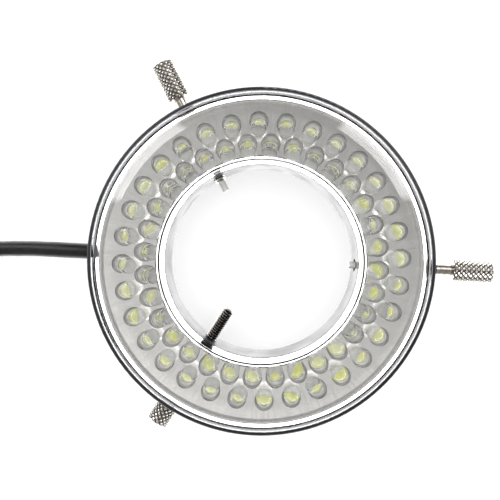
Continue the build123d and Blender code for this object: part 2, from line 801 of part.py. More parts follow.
# the least gap between two turns, on points about a fifth of a diameter apart, leaving out the pairs that
# are less than three diameters apart along the tube
spots = []
for edge in coil_route.edges():
    pieces = ceil(5 * edge.length / cord_diameter)
    spots += [tuple(edge.position_at(step / pieces)) for step in range(pieces)]
skipped_count = 15
gaps = [dist(a, b) for i, a in enumerate(spots) for b in spots[i + skipped_count :]]
print(f"cord_coil: least gap between turns {min(gaps) - cord_diameter:.2f}")

nose_end_plane = radial_plane(cord_angle, grommet_end, cord_height)
lead_start = [nose_end_plane.origin, nose_end_plane.offset(lead_first_run).origin]
lead_end = [coil_in - places[0][1] * lead_last_run, coil_in]
tail_start = [coil_out, coil_out + places[-1][1] * tail_first_run]
lead_points = [tuple(point) for point in (*lead_start, *cord_lead_points, *lead_end)]
tail_points = [tuple(point) for point in (*tail_start, *cord_tail_points, plug_start)]
lead_length = cord_along(lead_points, "cord_lead")
tail_length = cord_along(tail_points, "cord_tail")
print(f"cord outside the ring: {lead_length + coil_length + tail_length:.0f}")

# the plug on the cord's end, along +X: a moulded body, the barrel, and the contact inside it
plug_plane = Plane(origin=plug_start, x_dir=(0, 0, 1), z_dir=(1, 0, 0))
body_end = plug_boot_length + plug_body_length
nose_end = body_end + plug_nose_length
with BuildPart() as plug_body:
    with BuildSketch(plug_plane):
        Circle(plug_boot_radius)
    with BuildSketch(plug_plane.offset(plug_boot_length)):
        Circle(plug_radius)
    loft()
    with BuildSketch(plug_plane.offset(plug_boot_length)):
        Circle(plug_radius)
    extrude(amount=plug_body_length)
    fillet(plug_body.edges().filter_by(GeomType.CIRCLE).sort_by(Axis.X)[-1], plug_rounding)
    with BuildSketch(plug_plane.offset(body_end)):
        Circle(plug_nose_radius)
    extrude(amount=plug_nose_length)
    with BuildSketch(plug_plane.offset(nose_end)):
        Circle(barrel_radius + barrel_seat_width + thread_clearance)
    extrude(amount=-contact_seat, mode=Mode.SUBTRACT)
save(plug_body, "plug_body")

barrel_start = nose_end - contact_seat
with BuildPart() as plug_barrel:
    with BuildSketch(plug_plane.offset(barrel_start)):
        Circle(barrel_radius + barrel_seat_width)
        Circle(barrel_radius - barrel_wall, mode=Mode.SUBTRACT)
    extrude(amount=contact_seat)
    with BuildSketch(plug_plane.offset(nose_end)):
        Circle(barrel_radius)
        Circle(barrel_radius - barrel_wall, mode=Mode.SUBTRACT)
    extrude(amount=barrel_length)
save(plug_barrel, "plug_barrel")

with BuildPart() as plug_insulator:
    with BuildSketch(plug_plane.offset(barrel_start)):
        Circle(barrel_radius - barrel_wall)
        Circle(contact_radius, mode=Mode.SUBTRACT)
    extrude(amount=contact_seat + barrel_length)
save(plug_insulator, "plug_insulator")

with BuildPart() as plug_contact:
    with BuildSketch(plug_plane.offset(barrel_start)):
        Circle(contact_radius)
        Circle(contact_bore_radius, mode=Mode.SUBTRACT)
    extrude(amount=contact_seat + barrel_length)
save(plug_contact, "plug_contact")
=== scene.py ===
import bmesh
import bpy
import json
from math import cos, pi, radians, sin
from mathutils import Matrix, Vector


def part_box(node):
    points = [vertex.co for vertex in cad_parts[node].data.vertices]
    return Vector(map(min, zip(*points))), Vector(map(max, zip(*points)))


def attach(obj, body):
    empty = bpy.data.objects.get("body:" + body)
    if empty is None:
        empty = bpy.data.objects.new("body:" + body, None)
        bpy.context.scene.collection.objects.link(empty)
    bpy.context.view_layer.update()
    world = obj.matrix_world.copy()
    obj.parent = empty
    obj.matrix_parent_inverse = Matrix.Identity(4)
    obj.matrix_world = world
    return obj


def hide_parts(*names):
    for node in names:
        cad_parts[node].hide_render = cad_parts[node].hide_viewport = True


# A microscope's ring light, lying on its back with its LEDs towards the camera. Lengths are metres, in the
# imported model's own frame: the ring's axis is Z and its rear plane is z = 0.
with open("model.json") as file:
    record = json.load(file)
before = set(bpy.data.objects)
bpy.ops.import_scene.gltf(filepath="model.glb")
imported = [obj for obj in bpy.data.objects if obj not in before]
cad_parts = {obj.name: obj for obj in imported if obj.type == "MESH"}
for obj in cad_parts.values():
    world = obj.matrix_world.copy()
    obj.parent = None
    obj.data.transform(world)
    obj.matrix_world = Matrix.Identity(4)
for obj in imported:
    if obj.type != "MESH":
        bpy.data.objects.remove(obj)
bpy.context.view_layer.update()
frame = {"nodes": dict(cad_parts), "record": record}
nodes = frame["nodes"]
scene = bpy.context.scene
scene.view_settings.view_transform = "Standard"
MM = 0.001

# the ring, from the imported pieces
cover_low, cover_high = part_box("front_cover")
BORE_RADIUS = frame["record"]["mounts"][0]["dims"]["r_mm"] * MM
COVER_RADIUS = cover_high.x
SEAT_HEIGHT = cover_low.z
TOP_HEIGHT = cover_high.z

# the camera, square on to the LEDs, at the distance and the focal length that the photo's rims give
IMAGE_SIDE = 500
FOCAL_PIXELS = 600.6
CAMERA_PLACE = (1.0 * MM, 5.2 * MM, 205.0 * MM)
CAMERA_SHIFT = (-0.0294, -0.0111)
CLIP_START = 10 * MM
camera = bpy.data.objects.new("camera", bpy.data.cameras.new("camera"))
scene.collection.objects.link(camera)
scene.camera = camera
camera.location = CAMERA_PLACE
camera.data.lens = camera.data.sensor_width * FOCAL_PIXELS / IMAGE_SIDE
camera.data.shift_x, camera.data.shift_y = CAMERA_SHIFT
camera.data.clip_start = CLIP_START


def node(tree, kind, inputs=(), **settings):
    """A node with these settings, its inputs linked or set by name or number."""
    made = tree.nodes.new(kind)
    for name, value in settings.items():
        setattr(made, name, value)
    for key, value in dict(inputs).items():
        if isinstance(value, bpy.types.NodeSocket):
            tree.links.new(value, made.inputs[key])
        else:
            made.inputs[key].default_value = value
    return made


def maths(tree, operation, *values):
    """The result of a Math node."""
    return node(tree, "ShaderNodeMath", enumerate(values), operation=operation).outputs[0]


def new_group(name, kind, inputs, outputs):
    """An empty node group with these sockets, with its input node and its output node."""
    tree = bpy.data.node_groups.new(name, kind)
    for label, socket_type, value in inputs:
        socket = tree.interface.new_socket(label, in_out="INPUT", socket_type=socket_type)
        if value is not None:
            socket.default_value = value
    for label, socket_type in outputs:
        tree.interface.new_socket(label, in_out="OUTPUT", socket_type=socket_type)
    return tree, tree.nodes.new("NodeGroupInput").outputs, tree.nodes.new("NodeGroupOutput")


# shader groups: each gives a mask or a height that varies over the surface
def uneven_marks():
    """Soft blotches, as of handling and of uneven polish."""
    inputs = [("Place", "NodeSocketVector", None), ("Scale", "NodeSocketFloat", 100.0)]
    inputs += [("From", "NodeSocketFloat", 0.35), ("To", "NodeSocketFloat", 0.7)]
    tree, given, out = new_group("uneven_marks", "ShaderNodeTree", inputs, [("Mask", "NodeSocketFloat")])
    texture = {"Vector": given["Place"], "Scale": given["Scale"], "Detail": 5, "Roughness": 0.6}
    noise = node(tree, "ShaderNodeTexNoise", texture)
    limits = {"Value": noise.outputs["Fac"], "From Min": given["From"], "From Max": given["To"]}
    ramp = node(tree, "ShaderNodeMapRange", limits, interpolation_type="SMOOTHSTEP")
    tree.links.new(ramp.outputs[0], out.inputs["Mask"])
    return tree


def radial_streaks():
    """Fine lines that run out from the ring's axis, as a radial brush leaves."""
    inputs = [("Place", "NodeSocketVector", None), ("Scale", "NodeSocketFloat", 60.0)]
    inputs += [("From", "NodeSocketFloat", 0.3), ("To", "NodeSocketFloat", 0.7)]
    tree, given, out = new_group("radial_streaks", "ShaderNodeTree", inputs, [("Mask", "NodeSocketFloat")])
    split = node(tree, "ShaderNodeSeparateXYZ", {0: given["Place"]}).outputs
    flat = node(tree, "ShaderNodeCombineXYZ", {0: split[0], 1: split[1]}).outputs[0]
    way = node(tree, "ShaderNodeVectorMath", {0: flat}, operation="NORMALIZE").outputs[0]
    reach = node(tree, "ShaderNodeVectorMath", {0: flat}, operation="LENGTH").outputs["Value"]
    split = node(tree, "ShaderNodeSeparateXYZ", {0: way}).outputs
    drift = maths(tree, "MULTIPLY", reach, 2.0)
    spot = node(tree, "ShaderNodeCombineXYZ", {0: split[0], 1: split[1], 2: drift}).outputs[0]
    texture = {"Vector": spot, "Scale": given["Scale"], "Detail": 6, "Roughness": 0.7}
    noise = node(tree, "ShaderNodeTexNoise", texture)
    limits = {"Value": noise.outputs["Fac"], "From Min": given["From"], "From Max": given["To"]}
    ramp = node(tree, "ShaderNodeMapRange", limits, interpolation_type="SMOOTHSTEP")
    tree.links.new(ramp.outputs[0], out.inputs["Mask"])
    return tree


def fine_grain():
    """The small relief of a moulded, plated or cast surface."""
    inputs = [("Place", "NodeSocketVector", None), ("Scale", "NodeSocketFloat", 2000.0)]
    tree, given, out = new_group("fine_grain", "ShaderNodeTree", inputs, [("Height", "NodeSocketFloat")])
    noise = node(tree, "ShaderNodeTexNoise", {"Vector": given["Place"], "Scale": given["Scale"], "Detail": 3})
    cells = node(tree, "ShaderNodeTexVoronoi", {"Vector": given["Place"], "Scale": given["Scale"]})
    total = maths(tree, "ADD", noise.outputs["Fac"], cells.outputs["Distance"])
    tree.links.new(maths(tree, "MULTIPLY", total, 0.5), out.inputs["Height"])
    return tree


GROUPS = {make.__name__: make() for make in (uneven_marks, radial_streaks, fine_grain)}


def placed_group(tree, name, **values):
    """A shader group in a material, reading Object coordinates. Returns its one output."""
    place = node(tree, "ShaderNodeTexCoord").outputs["Object"]
    made = node(tree, "ShaderNodeGroup", node_tree=GROUPS[name])
    tree.links.new(place, made.inputs["Place"])
    for key, value in values.items():
        made.inputs[key].default_value = value
    return made.outputs[0]


def surface(name, colour, marked, roughness, marked_roughness, pattern, grain, **plain):
    """A finish whose colour and roughness vary with a pattern, over a fine grain in relief. pattern is a
    group's name and its values, grain is (scale, depth), and plain are sockets that are the same all over."""
    made = bpy.data.materials.new(name)
    made.use_nodes = True
    tree = made.node_tree
    shader = tree.nodes["Principled BSDF"]
    pattern_name, pattern_values = pattern
    mask = placed_group(tree, pattern_name, **pattern_values)
    mix = node(tree, "ShaderNodeMix", {"Factor": mask}, data_type="RGBA")
    mix.inputs[6].default_value = (*colour, 1)
    mix.inputs[7].default_value = (*marked, 1)
    tree.links.new(mix.outputs[2], shader.inputs["Base Color"])
    rough = node(tree, "ShaderNodeMapRange", {"Value": mask, "To Min": roughness, "To Max": marked_roughness})
    tree.links.new(rough.outputs[0], shader.inputs["Roughness"])
    grain_scale, grain_depth = grain
    height = placed_group(tree, "fine_grain", Scale=grain_scale)
    bump = node(tree, "ShaderNodeBump", {"Height": height, "Distance": grain_depth, "Strength": 1.0})
    tree.links.new(bump.outputs[0], shader.inputs["Normal"])
    for key, value in plain.items():
        shader.inputs[key.replace("_", " ")].default_value = value
    return made


def clear(name, colour, ior, roughness, marked_roughness, marks):
    """A clear moulding with faint marks on its polish, that lets the lamps' light through."""
    made = bpy.data.materials.new(name)
    made.use_nodes = True
    tree = made.node_tree
    shader = tree.nodes["Principled BSDF"]
    shader.inputs["Base Color"].default_value = (*colour, 1)
    shader.inputs["Transmission Weight"].default_value = 1.0
    shader.inputs["IOR"].default_value = ior
    mask = placed_group(tree, "uneven_marks", **marks)
    rough = node(tree, "ShaderNodeMapRange", {"Value": mask, "To Min": roughness, "To Max": marked_roughness})
    tree.links.new(rough.outputs[0], shader.inputs["Roughness"])
    through = node(tree, "ShaderNodeBsdfTransparent", {"Color": (*colour, 1)})
    path = node(tree, "ShaderNodeLightPath")
    both = node(tree, "ShaderNodeMixShader", {0: path.outputs["Is Shadow Ray"], 2: through.outputs[0]})
    tree.links.new(shader.outputs[0], both.inputs[1])
    tree.links.new(both.outputs[0], tree.nodes["Material Output"].inputs["Surface"])
    return made


BLOTCHES = ("uneven_marks", {"Scale": 90.0})
SMALL_BLOTCHES = ("uneven_marks", {"Scale": 600.0})

# the finishes, each with its colour and its marks' colour
black_plastic = surface(
    "black_plastic", (0.006, 0.006, 0.007), (0.01, 0.01, 0.011), 0.36, 0.46,
    BLOTCHES, (1500.0, 0.004 * MM), IOR=1.3
)
rear_plastic = surface(
    "rear_plastic", (0.018, 0.018, 0.02), (0.03, 0.03, 0.031), 0.38, 0.55, BLOTCHES, (1800.0, 0.03 * MM)
)
clear_plastic = clear(
    "clear_plastic", (0.985, 0.99, 0.99), 1.49, 0.0, 0.035, {"Scale": 45.0, "From": 0.5, "To": 0.85}
)
led_epoxy = clear(
    "led_epoxy", (0.985, 0.975, 0.965), 1.5, 0.0, 0.05, {"Scale": 900.0, "From": 0.45, "To": 0.8}
)
tinned_lead = surface(
    "tinned_lead", (0.72, 0.71, 0.67), (0.55, 0.54, 0.5), 0.22, 0.4,
    SMALL_BLOTCHES, (3000.0, 0.006 * MM), Metallic=1.0
)
bright_sheet = surface(
    "bright_sheet", (0.68, 0.665, 0.645), (0.58, 0.565, 0.545), 0.12, 0.2,
    ("radial_streaks", {"Scale": 55.0}), (2500.0, 0.004 * MM), Metallic=1.0,
)
trim_metal = surface(
    "trim_metal", (0.3, 0.3, 0.335), (0.22, 0.22, 0.25), 0.3, 0.42,
    ("radial_streaks", {"Scale": 30.0}), (2500.0, 0.003 * MM), Metallic=1.0,
)
board_laminate = surface(
    "board_laminate", (0.74, 0.74, 0.71), (0.66, 0.66, 0.63), 0.3, 0.45, BLOTCHES, (2500.0, 0.01 * MM)
)
zinc_steel = surface(
    "zinc_steel", (0.6, 0.6, 0.61), (0.42, 0.42, 0.42), 0.25, 0.45,
    SMALL_BLOTCHES, (2500.0, 0.005 * MM), Metallic=1.0
)
black_steel = surface(
    "black_steel", (0.06, 0.06, 0.065), (0.12, 0.115, 0.11), 0.3, 0.5, SMALL_BLOTCHES, (2500.0, 0.006 * MM),
    Metallic=1.0,
)
resistor_ceramic = surface(
    "resistor_ceramic", (0.02, 0.02, 0.02), (0.035, 0.035, 0.035), 0.4, 0.55,
    SMALL_BLOTCHES, (3000.0, 0.008 * MM)
)
insert_brass = surface(
    "insert_brass", (0.62, 0.42, 0.16), (0.42, 0.27, 0.1), 0.25, 0.42,
    SMALL_BLOTCHES, (2500.0, 0.005 * MM), Metallic=1.0
)
head_nickel = surface(
    "head_nickel", (0.66, 0.63, 0.585), (0.42, 0.4, 0.365), 0.2, 0.34,
    SMALL_BLOTCHES, (2500.0, 0.006 * MM), Metallic=1.0
)
stud_steel = surface(
    "stud_steel", (0.5, 0.485, 0.46), (0.34, 0.33, 0.31), 0.22, 0.36,
    SMALL_BLOTCHES, (2500.0, 0.006 * MM), Metallic=1.0
)
# a darker copy of stud_steel: painted shade on the lower left screw's stud
dark_steel = surface(
    "dark_steel", (0.2, 0.185, 0.17), (0.1, 0.092, 0.085), 0.2, 0.32, SMALL_BLOTCHES, (2500.0, 0.006 * MM),
    Metallic=1.0,
)
neck_steel = surface(
    "neck_steel", (0.3, 0.28, 0.25), (0.16, 0.145, 0.13), 0.18, 0.3,
    SMALL_BLOTCHES, (2500.0, 0.006 * MM), Metallic=1.0
)
# a dark copy of the nylon tip: painted shade on the lower left screw's tip
dark_nylon = surface(
    "dark_nylon", (0.025, 0.023, 0.02), (0.05, 0.046, 0.04), 0.3, 0.45, SMALL_BLOTCHES, (2200.0, 0.01 * MM)
)
tip_nylon = surface(
    "tip_nylon", (0.72, 0.72, 0.69), (0.6, 0.6, 0.57), 0.4, 0.55, SMALL_BLOTCHES, (2200.0, 0.01 * MM)
)
grommet_rubber = surface(
    "grommet_rubber", (0.014, 0.014, 0.014), (0.03, 0.03, 0.03), 0.5, 0.7,
    SMALL_BLOTCHES, (2000.0, 0.02 * MM)
)
cord_jacket = surface(
    "cord_jacket", (0.004, 0.004, 0.0045), (0.008, 0.008, 0.008), 0.34, 0.5,
    ("uneven_marks", {"Scale": 300.0}), (1800.0, 0.012 * MM), IOR=1.25,
)
plug_plastic = surface(
    "plug_plastic", (0.012, 0.012, 0.013), (0.024, 0.024, 0.024), 0.4, 0.55,
    SMALL_BLOTCHES, (1800.0, 0.02 * MM)
)
plug_nickel = surface(
    "plug_nickel", (0.68, 0.66, 0.62), (0.5, 0.48, 0.45), 0.16, 0.3,
    SMALL_BLOTCHES, (2500.0, 0.004 * MM), Metallic=1.0
)
plug_insulation = surface(
    "plug_insulation", (0.6, 0.5, 0.2), (0.5, 0.42, 0.17), 0.4, 0.5, SMALL_BLOTCHES, (2500.0, 0.006 * MM)
)
clamp_plastic = surface(
    "clamp_plastic", (0.03, 0.03, 0.03), (0.045, 0.045, 0.045), 0.42, 0.55,
    SMALL_BLOTCHES, (2000.0, 0.015 * MM)
)
red_insulation = surface(
    "red_insulation", (0.4, 0.015, 0.012), (0.3, 0.012, 0.01), 0.35, 0.5,
    SMALL_BLOTCHES, (2200.0, 0.006 * MM)
)
black_insulation = surface(
    "black_insulation", (0.012, 0.012, 0.012), (0.022, 0.022, 0.022), 0.35, 0.5,
    SMALL_BLOTCHES, (2200.0, 0.006 * MM)
)


def mixed_by(made, attribute, colour, low=0.0, high=1.0):
    """Turns a finish towards a colour where an attribute of the mesh is high."""
    tree = made.node_tree
    shader = tree.nodes["Principled BSDF"]
    plain = shader.inputs["Base Color"].links[0].from_socket
    amount = node(tree, "ShaderNodeAttribute", attribute_name=attribute).outputs["Fac"]
    amount = node(tree, "ShaderNodeMapRange", {"Value": amount, "From Min": low, "From Max": high}).outputs[0]
    mix = node(tree, "ShaderNodeMix", {"Factor": amount}, data_type="RGBA")
    tree.links.new(plain, mix.inputs[6])
    mix.inputs[7].default_value = (*colour, 1)
    tree.links.new(mix.outputs[2], shader.inputs["Base Color"])
    return made


# painted shade: the knurl's pits and the threads' grooves are darkened by how deep they lie
mixed_by(head_nickel, "pit_shade", (0.03, 0.027, 0.024), 0.35, 0.85)
mixed_by(stud_steel, "pit_shade", (0.3, 0.29, 0.275), 0.3, 0.8)
mixed_by(dark_steel, "pit_shade", (0.006, 0.006, 0.005), 0.2, 0.6)


def phosphor_finish():
    """Matt yellow-green phosphor, a little different from LED to LED."""
    made = surface(
        "phosphor", (0.6, 0.63, 0.16), (0.5, 0.52, 0.12), 0.6, 0.8, SMALL_BLOTCHES, (4000.0, 0.02 * MM)
    )
    return mixed_by(made, "shade", (0.66, 0.67, 0.4))


phosphor = phosphor_finish()

# the carried-over CAD nodes take their finish by the record's slots
SLOT_FINISHES = {
    "black_plastic": black_plastic, "rear_plastic": rear_plastic, "black_steel": black_steel,
    "clear_plastic": clear_plastic, "led_epoxy": led_epoxy, "tinned_lead": tinned_lead, "phosphor": phosphor,
    "bright_sheet": bright_sheet, "board_laminate": board_laminate, "zinc_steel": zinc_steel,
    "resistor_ceramic": resistor_ceramic, "insert_brass": insert_brass, "grommet_rubber": grommet_rubber,
    "cord_jacket": cord_jacket, "clamp_plastic": clamp_plastic, "red_insulation": red_insulation,
    "black_insulation": black_insulation, "plug_plastic": plug_plastic, "plug_nickel": plug_nickel,
    "plug_insulation": plug_insulation, "head_nickel": head_nickel, "stud_steel": stud_steel,
    "tip_nylon": tip_nylon,
}
for subpart in frame["record"]["subparts"]:
    slots = nodes[subpart["node"]].data.materials
    slots.clear()
    slots.append(SLOT_FINISHES[subpart["material_slot"]])


def piece(name, mesh, finish, body, replaced=()):
    """A finished piece: a mesh in the ring's frame, its finish, its body and the nodes it stands for."""
    made = bpy.data.objects.new(name, mesh)
    scene.collection.objects.link(made)
    mesh.materials.clear()
    mesh.materials.append(finish)
    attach(made, body)
    if replaced:
        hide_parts(*replaced)
    return made


def smoothed(mesh, degrees=32):
    """Smooth shading with sharp edges where faces meet at more than this angle."""
    mesh.polygons.foreach_set("use_smooth", [True] * len(mesh.polygons))
    mesh.set_sharp_from_angle(angle=radians(degrees))
    mesh.update()
    return mesh


def arc(centre, radius, start, end, steps=8):
    """Points of (radius, height) along an arc, with angles in degrees from the outward way."""
    angles = [radians(start + (end - start) * step / steps) for step in range(steps + 1)]
    return [(centre[0] + radius * cos(a), centre[1] + radius * sin(a)) for a in angles]


def turned(name, outline, sides):
    """A closed mesh turned round Z from an outline of (radius, height) points, which starts and ends on the
    axis or closes on itself."""
    build = bmesh.new()
    rings = []
    for radius, height in outline:
        if radius == 0:
            rings.append([build.verts.new((0, 0, height))])
            continue
        angles = [2 * pi * side / sides for side in range(sides)]
        rings.append([build.verts.new((radius * cos(a), radius * sin(a), height)) for a in angles])
    pairs = list(zip(rings, rings[1:]))
    if len(rings[0]) > 1:
        pairs.append((rings[-1], rings[0]))
    for low, high in pairs:
        for side in range(sides):
            after = (side + 1) % sides
            corners = [low[side % len(low)], low[after % len(low)]]
            corners += [high[after % len(high)], high[side % len(high)]]
            build.faces.new(list(dict.fromkeys(corners)))
    bmesh.ops.recalc_face_normals(build, faces=build.faces)
    mesh = bpy.data.meshes.new(name)
    build.to_mesh(mesh)
    build.free()
    return smoothed(mesh)


def joined(name, meshes):
    """One mesh from several."""
    build = bmesh.new()
    for mesh in meshes:
        build.from_mesh(mesh)
    made = bpy.data.meshes.new(name)
    build.to_mesh(made)
    build.free()
    return made


BLOCK_BEVEL_SHARE = 1 / 8


def block(name, low, high):
    """A box mesh between two corners, with a small bevel."""
    build = bmesh.new()
    bmesh.ops.create_cube(build, size=1)
    low, high = Vector(low), Vector(high)
    for vert in build.verts:
        vert.co = Vector((low[i] + (vert.co[i] + 0.5) * (high[i] - low[i]) for i in range(3)))
    bevel = min(high - low) * BLOCK_BEVEL_SHARE
    bmesh.ops.bevel(build, geom=build.edges[:], offset=bevel, segments=1, affect="EDGES")
    mesh = bpy.data.meshes.new(name)
    build.to_mesh(mesh)
    build.free()
    return mesh


# Geometry Nodes trees for what repeats
MERGE_DISTANCE = 0.001 * MM


def ring_of_copies():
    """Copies of one piece in a ring round Z. Each leans its own way about its foot and has its own shade."""
    inputs = [("Geometry", "NodeSocketGeometry", None), ("Copies", "NodeSocketInt", 4)]
    inputs += [("First angle", "NodeSocketFloat", 0.0), ("Foot", "NodeSocketVector", None)]
    inputs += [("Lean", "NodeSocketFloat", 0.0), ("Seed", "NodeSocketInt", 1)]
    inputs += [("Finish", "NodeSocketMaterial", None)]
    outputs = [("Geometry", "NodeSocketGeometry")]
    tree, given, out = new_group("ring_of_copies", "GeometryNodeTree", inputs, outputs)
    index = node(tree, "GeometryNodeInputIndex").outputs[0]
    step = maths(tree, "DIVIDE", 2 * pi, given["Copies"])
    angle = maths(tree, "MULTIPLY_ADD", index, step, given["First angle"])
    turn = node(tree, "ShaderNodeCombineXYZ", {2: angle}).outputs[0]
    points = node(tree, "GeometryNodePoints", {"Count": given["Copies"]}).outputs[0]
    placed = {"Points": points, "Instance": given["Geometry"], "Rotation": turn}
    copies = node(tree, "GeometryNodeInstanceOnPoints", placed).outputs[0]
    most = node(tree, "ShaderNodeCombineXYZ", {i: given["Lean"] for i in range(3)}).outputs[0]
    least = node(tree, "ShaderNodeVectorMath", {0: most, "Scale": -1.0}, operation="SCALE").outputs[0]
    lean = node(tree, "FunctionNodeRandomValue", data_type="FLOAT_VECTOR")
    shade = node(tree, "FunctionNodeRandomValue", data_type="FLOAT")
    for socket, source in ((lean.inputs[0], least), (lean.inputs[1], most)):
        tree.links.new(source, socket)
    for random in (lean, shade):
        tree.links.new(given["Seed"], random.inputs["Seed"])
    leaning = node(
        tree, "GeometryNodeRotateInstances",
        {"Instances": copies, "Rotation": lean.outputs[0], "Pivot Point": given["Foot"], "Local Space": True},
    ).outputs[0]
    stored = {"Geometry": leaning, "Name": "shade", "Value": shade.outputs[1]}
    shaded = node(
        tree, "GeometryNodeStoreNamedAttribute", stored, data_type="FLOAT", domain="INSTANCE"
    ).outputs[0]
    real = node(tree, "GeometryNodeRealizeInstances", {"Geometry": shaded}).outputs[0]
    final = node(tree, "GeometryNodeSetMaterial", {"Geometry": real, "Material": given["Finish"]}).outputs[0]
    tree.links.new(final, out.inputs[0])
    return tree


def rolled_rod():
    """A rod along Z with grooves rolled round it: crossed ones make a knurl, plain ones a thread. The outer
    end may have a slot across it."""
    sizes = ("Radius", "Start", "Length", "Depth", "Around", "Along")
    inputs = [(name, "NodeSocketFloat", 1.0) for name in sizes]
    inputs += [("Crossed", "NodeSocketFloat", 0.0), ("Crest", "NodeSocketFloat", 1.3)]
    inputs += [("Chamfer", "NodeSocketFloat", 0.0), ("Sides", "NodeSocketInt", 24)]
    inputs += [("Rings", "NodeSocketInt", 24)]
    inputs += [("Slot width", "NodeSocketFloat", 0.0), ("Slot depth", "NodeSocketFloat", 0.0)]
    inputs += [("Finish", "NodeSocketMaterial", None)]
    outputs = [("Geometry", "NodeSocketGeometry")]
    tree, given, out = new_group("rolled_rod", "GeometryNodeTree", inputs, outputs)
    grid = node(
        tree, "GeometryNodeMeshGrid", {"Vertices X": given["Rings"], "Vertices Y": given["Sides"]}
    ).outputs["Mesh"]
    position = node(tree, "GeometryNodeInputPosition").outputs[0]
    place = node(tree, "ShaderNodeSeparateXYZ", {0: position}).outputs
    spaces = maths(tree, "SUBTRACT", given["Rings"], 1.0)
    row = maths(tree, "MULTIPLY", maths(tree, "ADD", place[0], 0.5), spaces)
    turn = maths(tree, "ADD", place[1], 0.5)
    # the first and the last row close the ends on the axis
    inner_spaces = maths(tree, "SUBTRACT", given["Rings"], 3.0)
    share = maths(tree, "DIVIDE", maths(tree, "SUBTRACT", row, 1.0), inner_spaces)
    share = node(tree, "ShaderNodeClamp", {"Value": share}).outputs[0]
    last = maths(tree, "SUBTRACT", given["Rings"], 1.5)
    after_first, before_last = maths(tree, "GREATER_THAN", row, 0.5), maths(tree, "LESS_THAN", row, last)
    open_rows = maths(tree, "MULTIPLY", after_first, before_last)
    around = maths(tree, "MULTIPLY", turn, given["Around"])
    along = maths(tree, "MULTIPLY", share, given["Along"])
    one_way = maths(tree, "PINGPONG", maths(tree, "ADD", around, along), 0.5)
    other_way = maths(tree, "PINGPONG", maths(tree, "SUBTRACT", around, along), 0.5)
    other_way = maths(tree, "ADD", other_way, maths(tree, "SUBTRACT", 1.0, given["Crossed"]))
    nearest = maths(tree, "MINIMUM", one_way, other_way)
    crest = maths(tree, "MULTIPLY", nearest, maths(tree, "MULTIPLY", given["Crest"], 2.0))
    crest = maths(tree, "MINIMUM", crest, 1.0)
    groove = maths(tree, "MULTIPLY", given["Depth"], maths(tree, "SUBTRACT", 1.0, crest))
    radius = maths(tree, "SUBTRACT", given["Radius"], groove)
    height = maths(tree, "MULTIPLY", share, given["Length"])
    edge = maths(tree, "MINIMUM", height, maths(tree, "SUBTRACT", given["Length"], height))
    limit = maths(tree, "ADD", maths(tree, "SUBTRACT", given["Radius"], given["Chamfer"]), edge)
    radius = maths(tree, "MULTIPLY", maths(tree, "MINIMUM", radius, limit), open_rows)
    angle = maths(tree, "MULTIPLY", turn, 2 * pi)
    spot = node(
        tree, "ShaderNodeCombineXYZ",
        {
            0: maths(tree, "MULTIPLY", radius, maths(tree, "COSINE", angle)),
            1: maths(tree, "MULTIPLY", radius, maths(tree, "SINE", angle)),
            2: maths(tree, "ADD", height, given["Start"]),
        },
    ).outputs[0]
    rod = node(tree, "GeometryNodeSetPosition", {"Geometry": grid, "Position": spot}).outputs[0]
    rod = node(tree, "GeometryNodeMergeByDistance", {"Geometry": rod, "Distance": MERGE_DISTANCE}).outputs[0]
    top = maths(tree, "ADD", given["Start"], given["Length"])
    slot_length = maths(tree, "MULTIPLY", given["Radius"], 3.0)
    slot_height = maths(tree, "MULTIPLY", given["Slot depth"], 2.0)
    slot_sizes = {0: given["Slot width"], 1: slot_length, 2: slot_height}
    slot_size = node(tree, "ShaderNodeCombineXYZ", slot_sizes).outputs[0]
    cutter = node(tree, "GeometryNodeMeshCube", {"Size": slot_size}).outputs["Mesh"]
    cutter = node(
        tree, "GeometryNodeTransform",
        {"Geometry": cutter, "Translation": node(tree, "ShaderNodeCombineXYZ", {2: top}).outputs[0]},
    ).outputs[0]
    both = {"Mesh 1": rod, "Mesh 2": cutter}
    cut = node(tree, "GeometryNodeMeshBoolean", both, operation="DIFFERENCE").outputs[0]
    slotted = maths(tree, "GREATER_THAN", given["Slot width"], 0.0)
    chosen = node(
        tree, "GeometryNodeSwitch", {"Switch": slotted, "False": rod, "True": cut}, input_type="GEOMETRY"
    ).outputs[0]
    # how deep each point lies in the grooves, but not on the ends, which the finishes darken as painted shade
    position = node(tree, "GeometryNodeInputPosition").outputs[0]
    spot = node(tree, "ShaderNodeSeparateXYZ", {0: position}).outputs
    squares = [maths(tree, "POWER", spot[axis], 2.0) for axis in (0, 1)]
    reach = maths(tree, "SQRT", maths(tree, "ADD", *squares))
    sunk = maths(tree, "DIVIDE", maths(tree, "SUBTRACT", given["Radius"], reach), given["Depth"])
    pit_shade = maths(tree, "MULTIPLY", maths(tree, "MINIMUM", sunk, 1.0), maths(tree, "LESS_THAN", sunk, 1.1))
    marked = node(
        tree, "GeometryNodeStoreNamedAttribute", {"Geometry": chosen, "Name": "pit_shade", "Value": pit_shade},
        data_type="FLOAT", domain="POINT",
    ).outputs[0]
    coated = {"Geometry": marked, "Material": given["Finish"]}
    final = node(tree, "GeometryNodeSetMaterial", coated).outputs[0]
    tree.links.new(final, out.inputs[0])
    return tree


RING = ring_of_copies()
ROD = rolled_rod()


def grown(name, tree, mesh=None, **values):
    """The plain mesh that a Geometry Nodes tree makes with these named inputs."""
    carrier = bpy.data.objects.new(name, mesh or bpy.data.meshes.new(name))
    scene.collection.objects.link(carrier)
    modifier = carrier.modifiers.new("grow", "NODES")
    modifier.node_group = tree
    for item in tree.interface.items_tree:
        label = item.name.replace(" ", "_").lower()
        if item.in_out == "INPUT" and label in values:
            modifier[item.identifier] = values[label]
    depsgraph = bpy.context.evaluated_depsgraph_get()
    made = bpy.data.meshes.new_from_object(carrier.evaluated_get(depsgraph), depsgraph=depsgraph)
    made.name = name
    bpy.data.objects.remove(carrier)
    return made


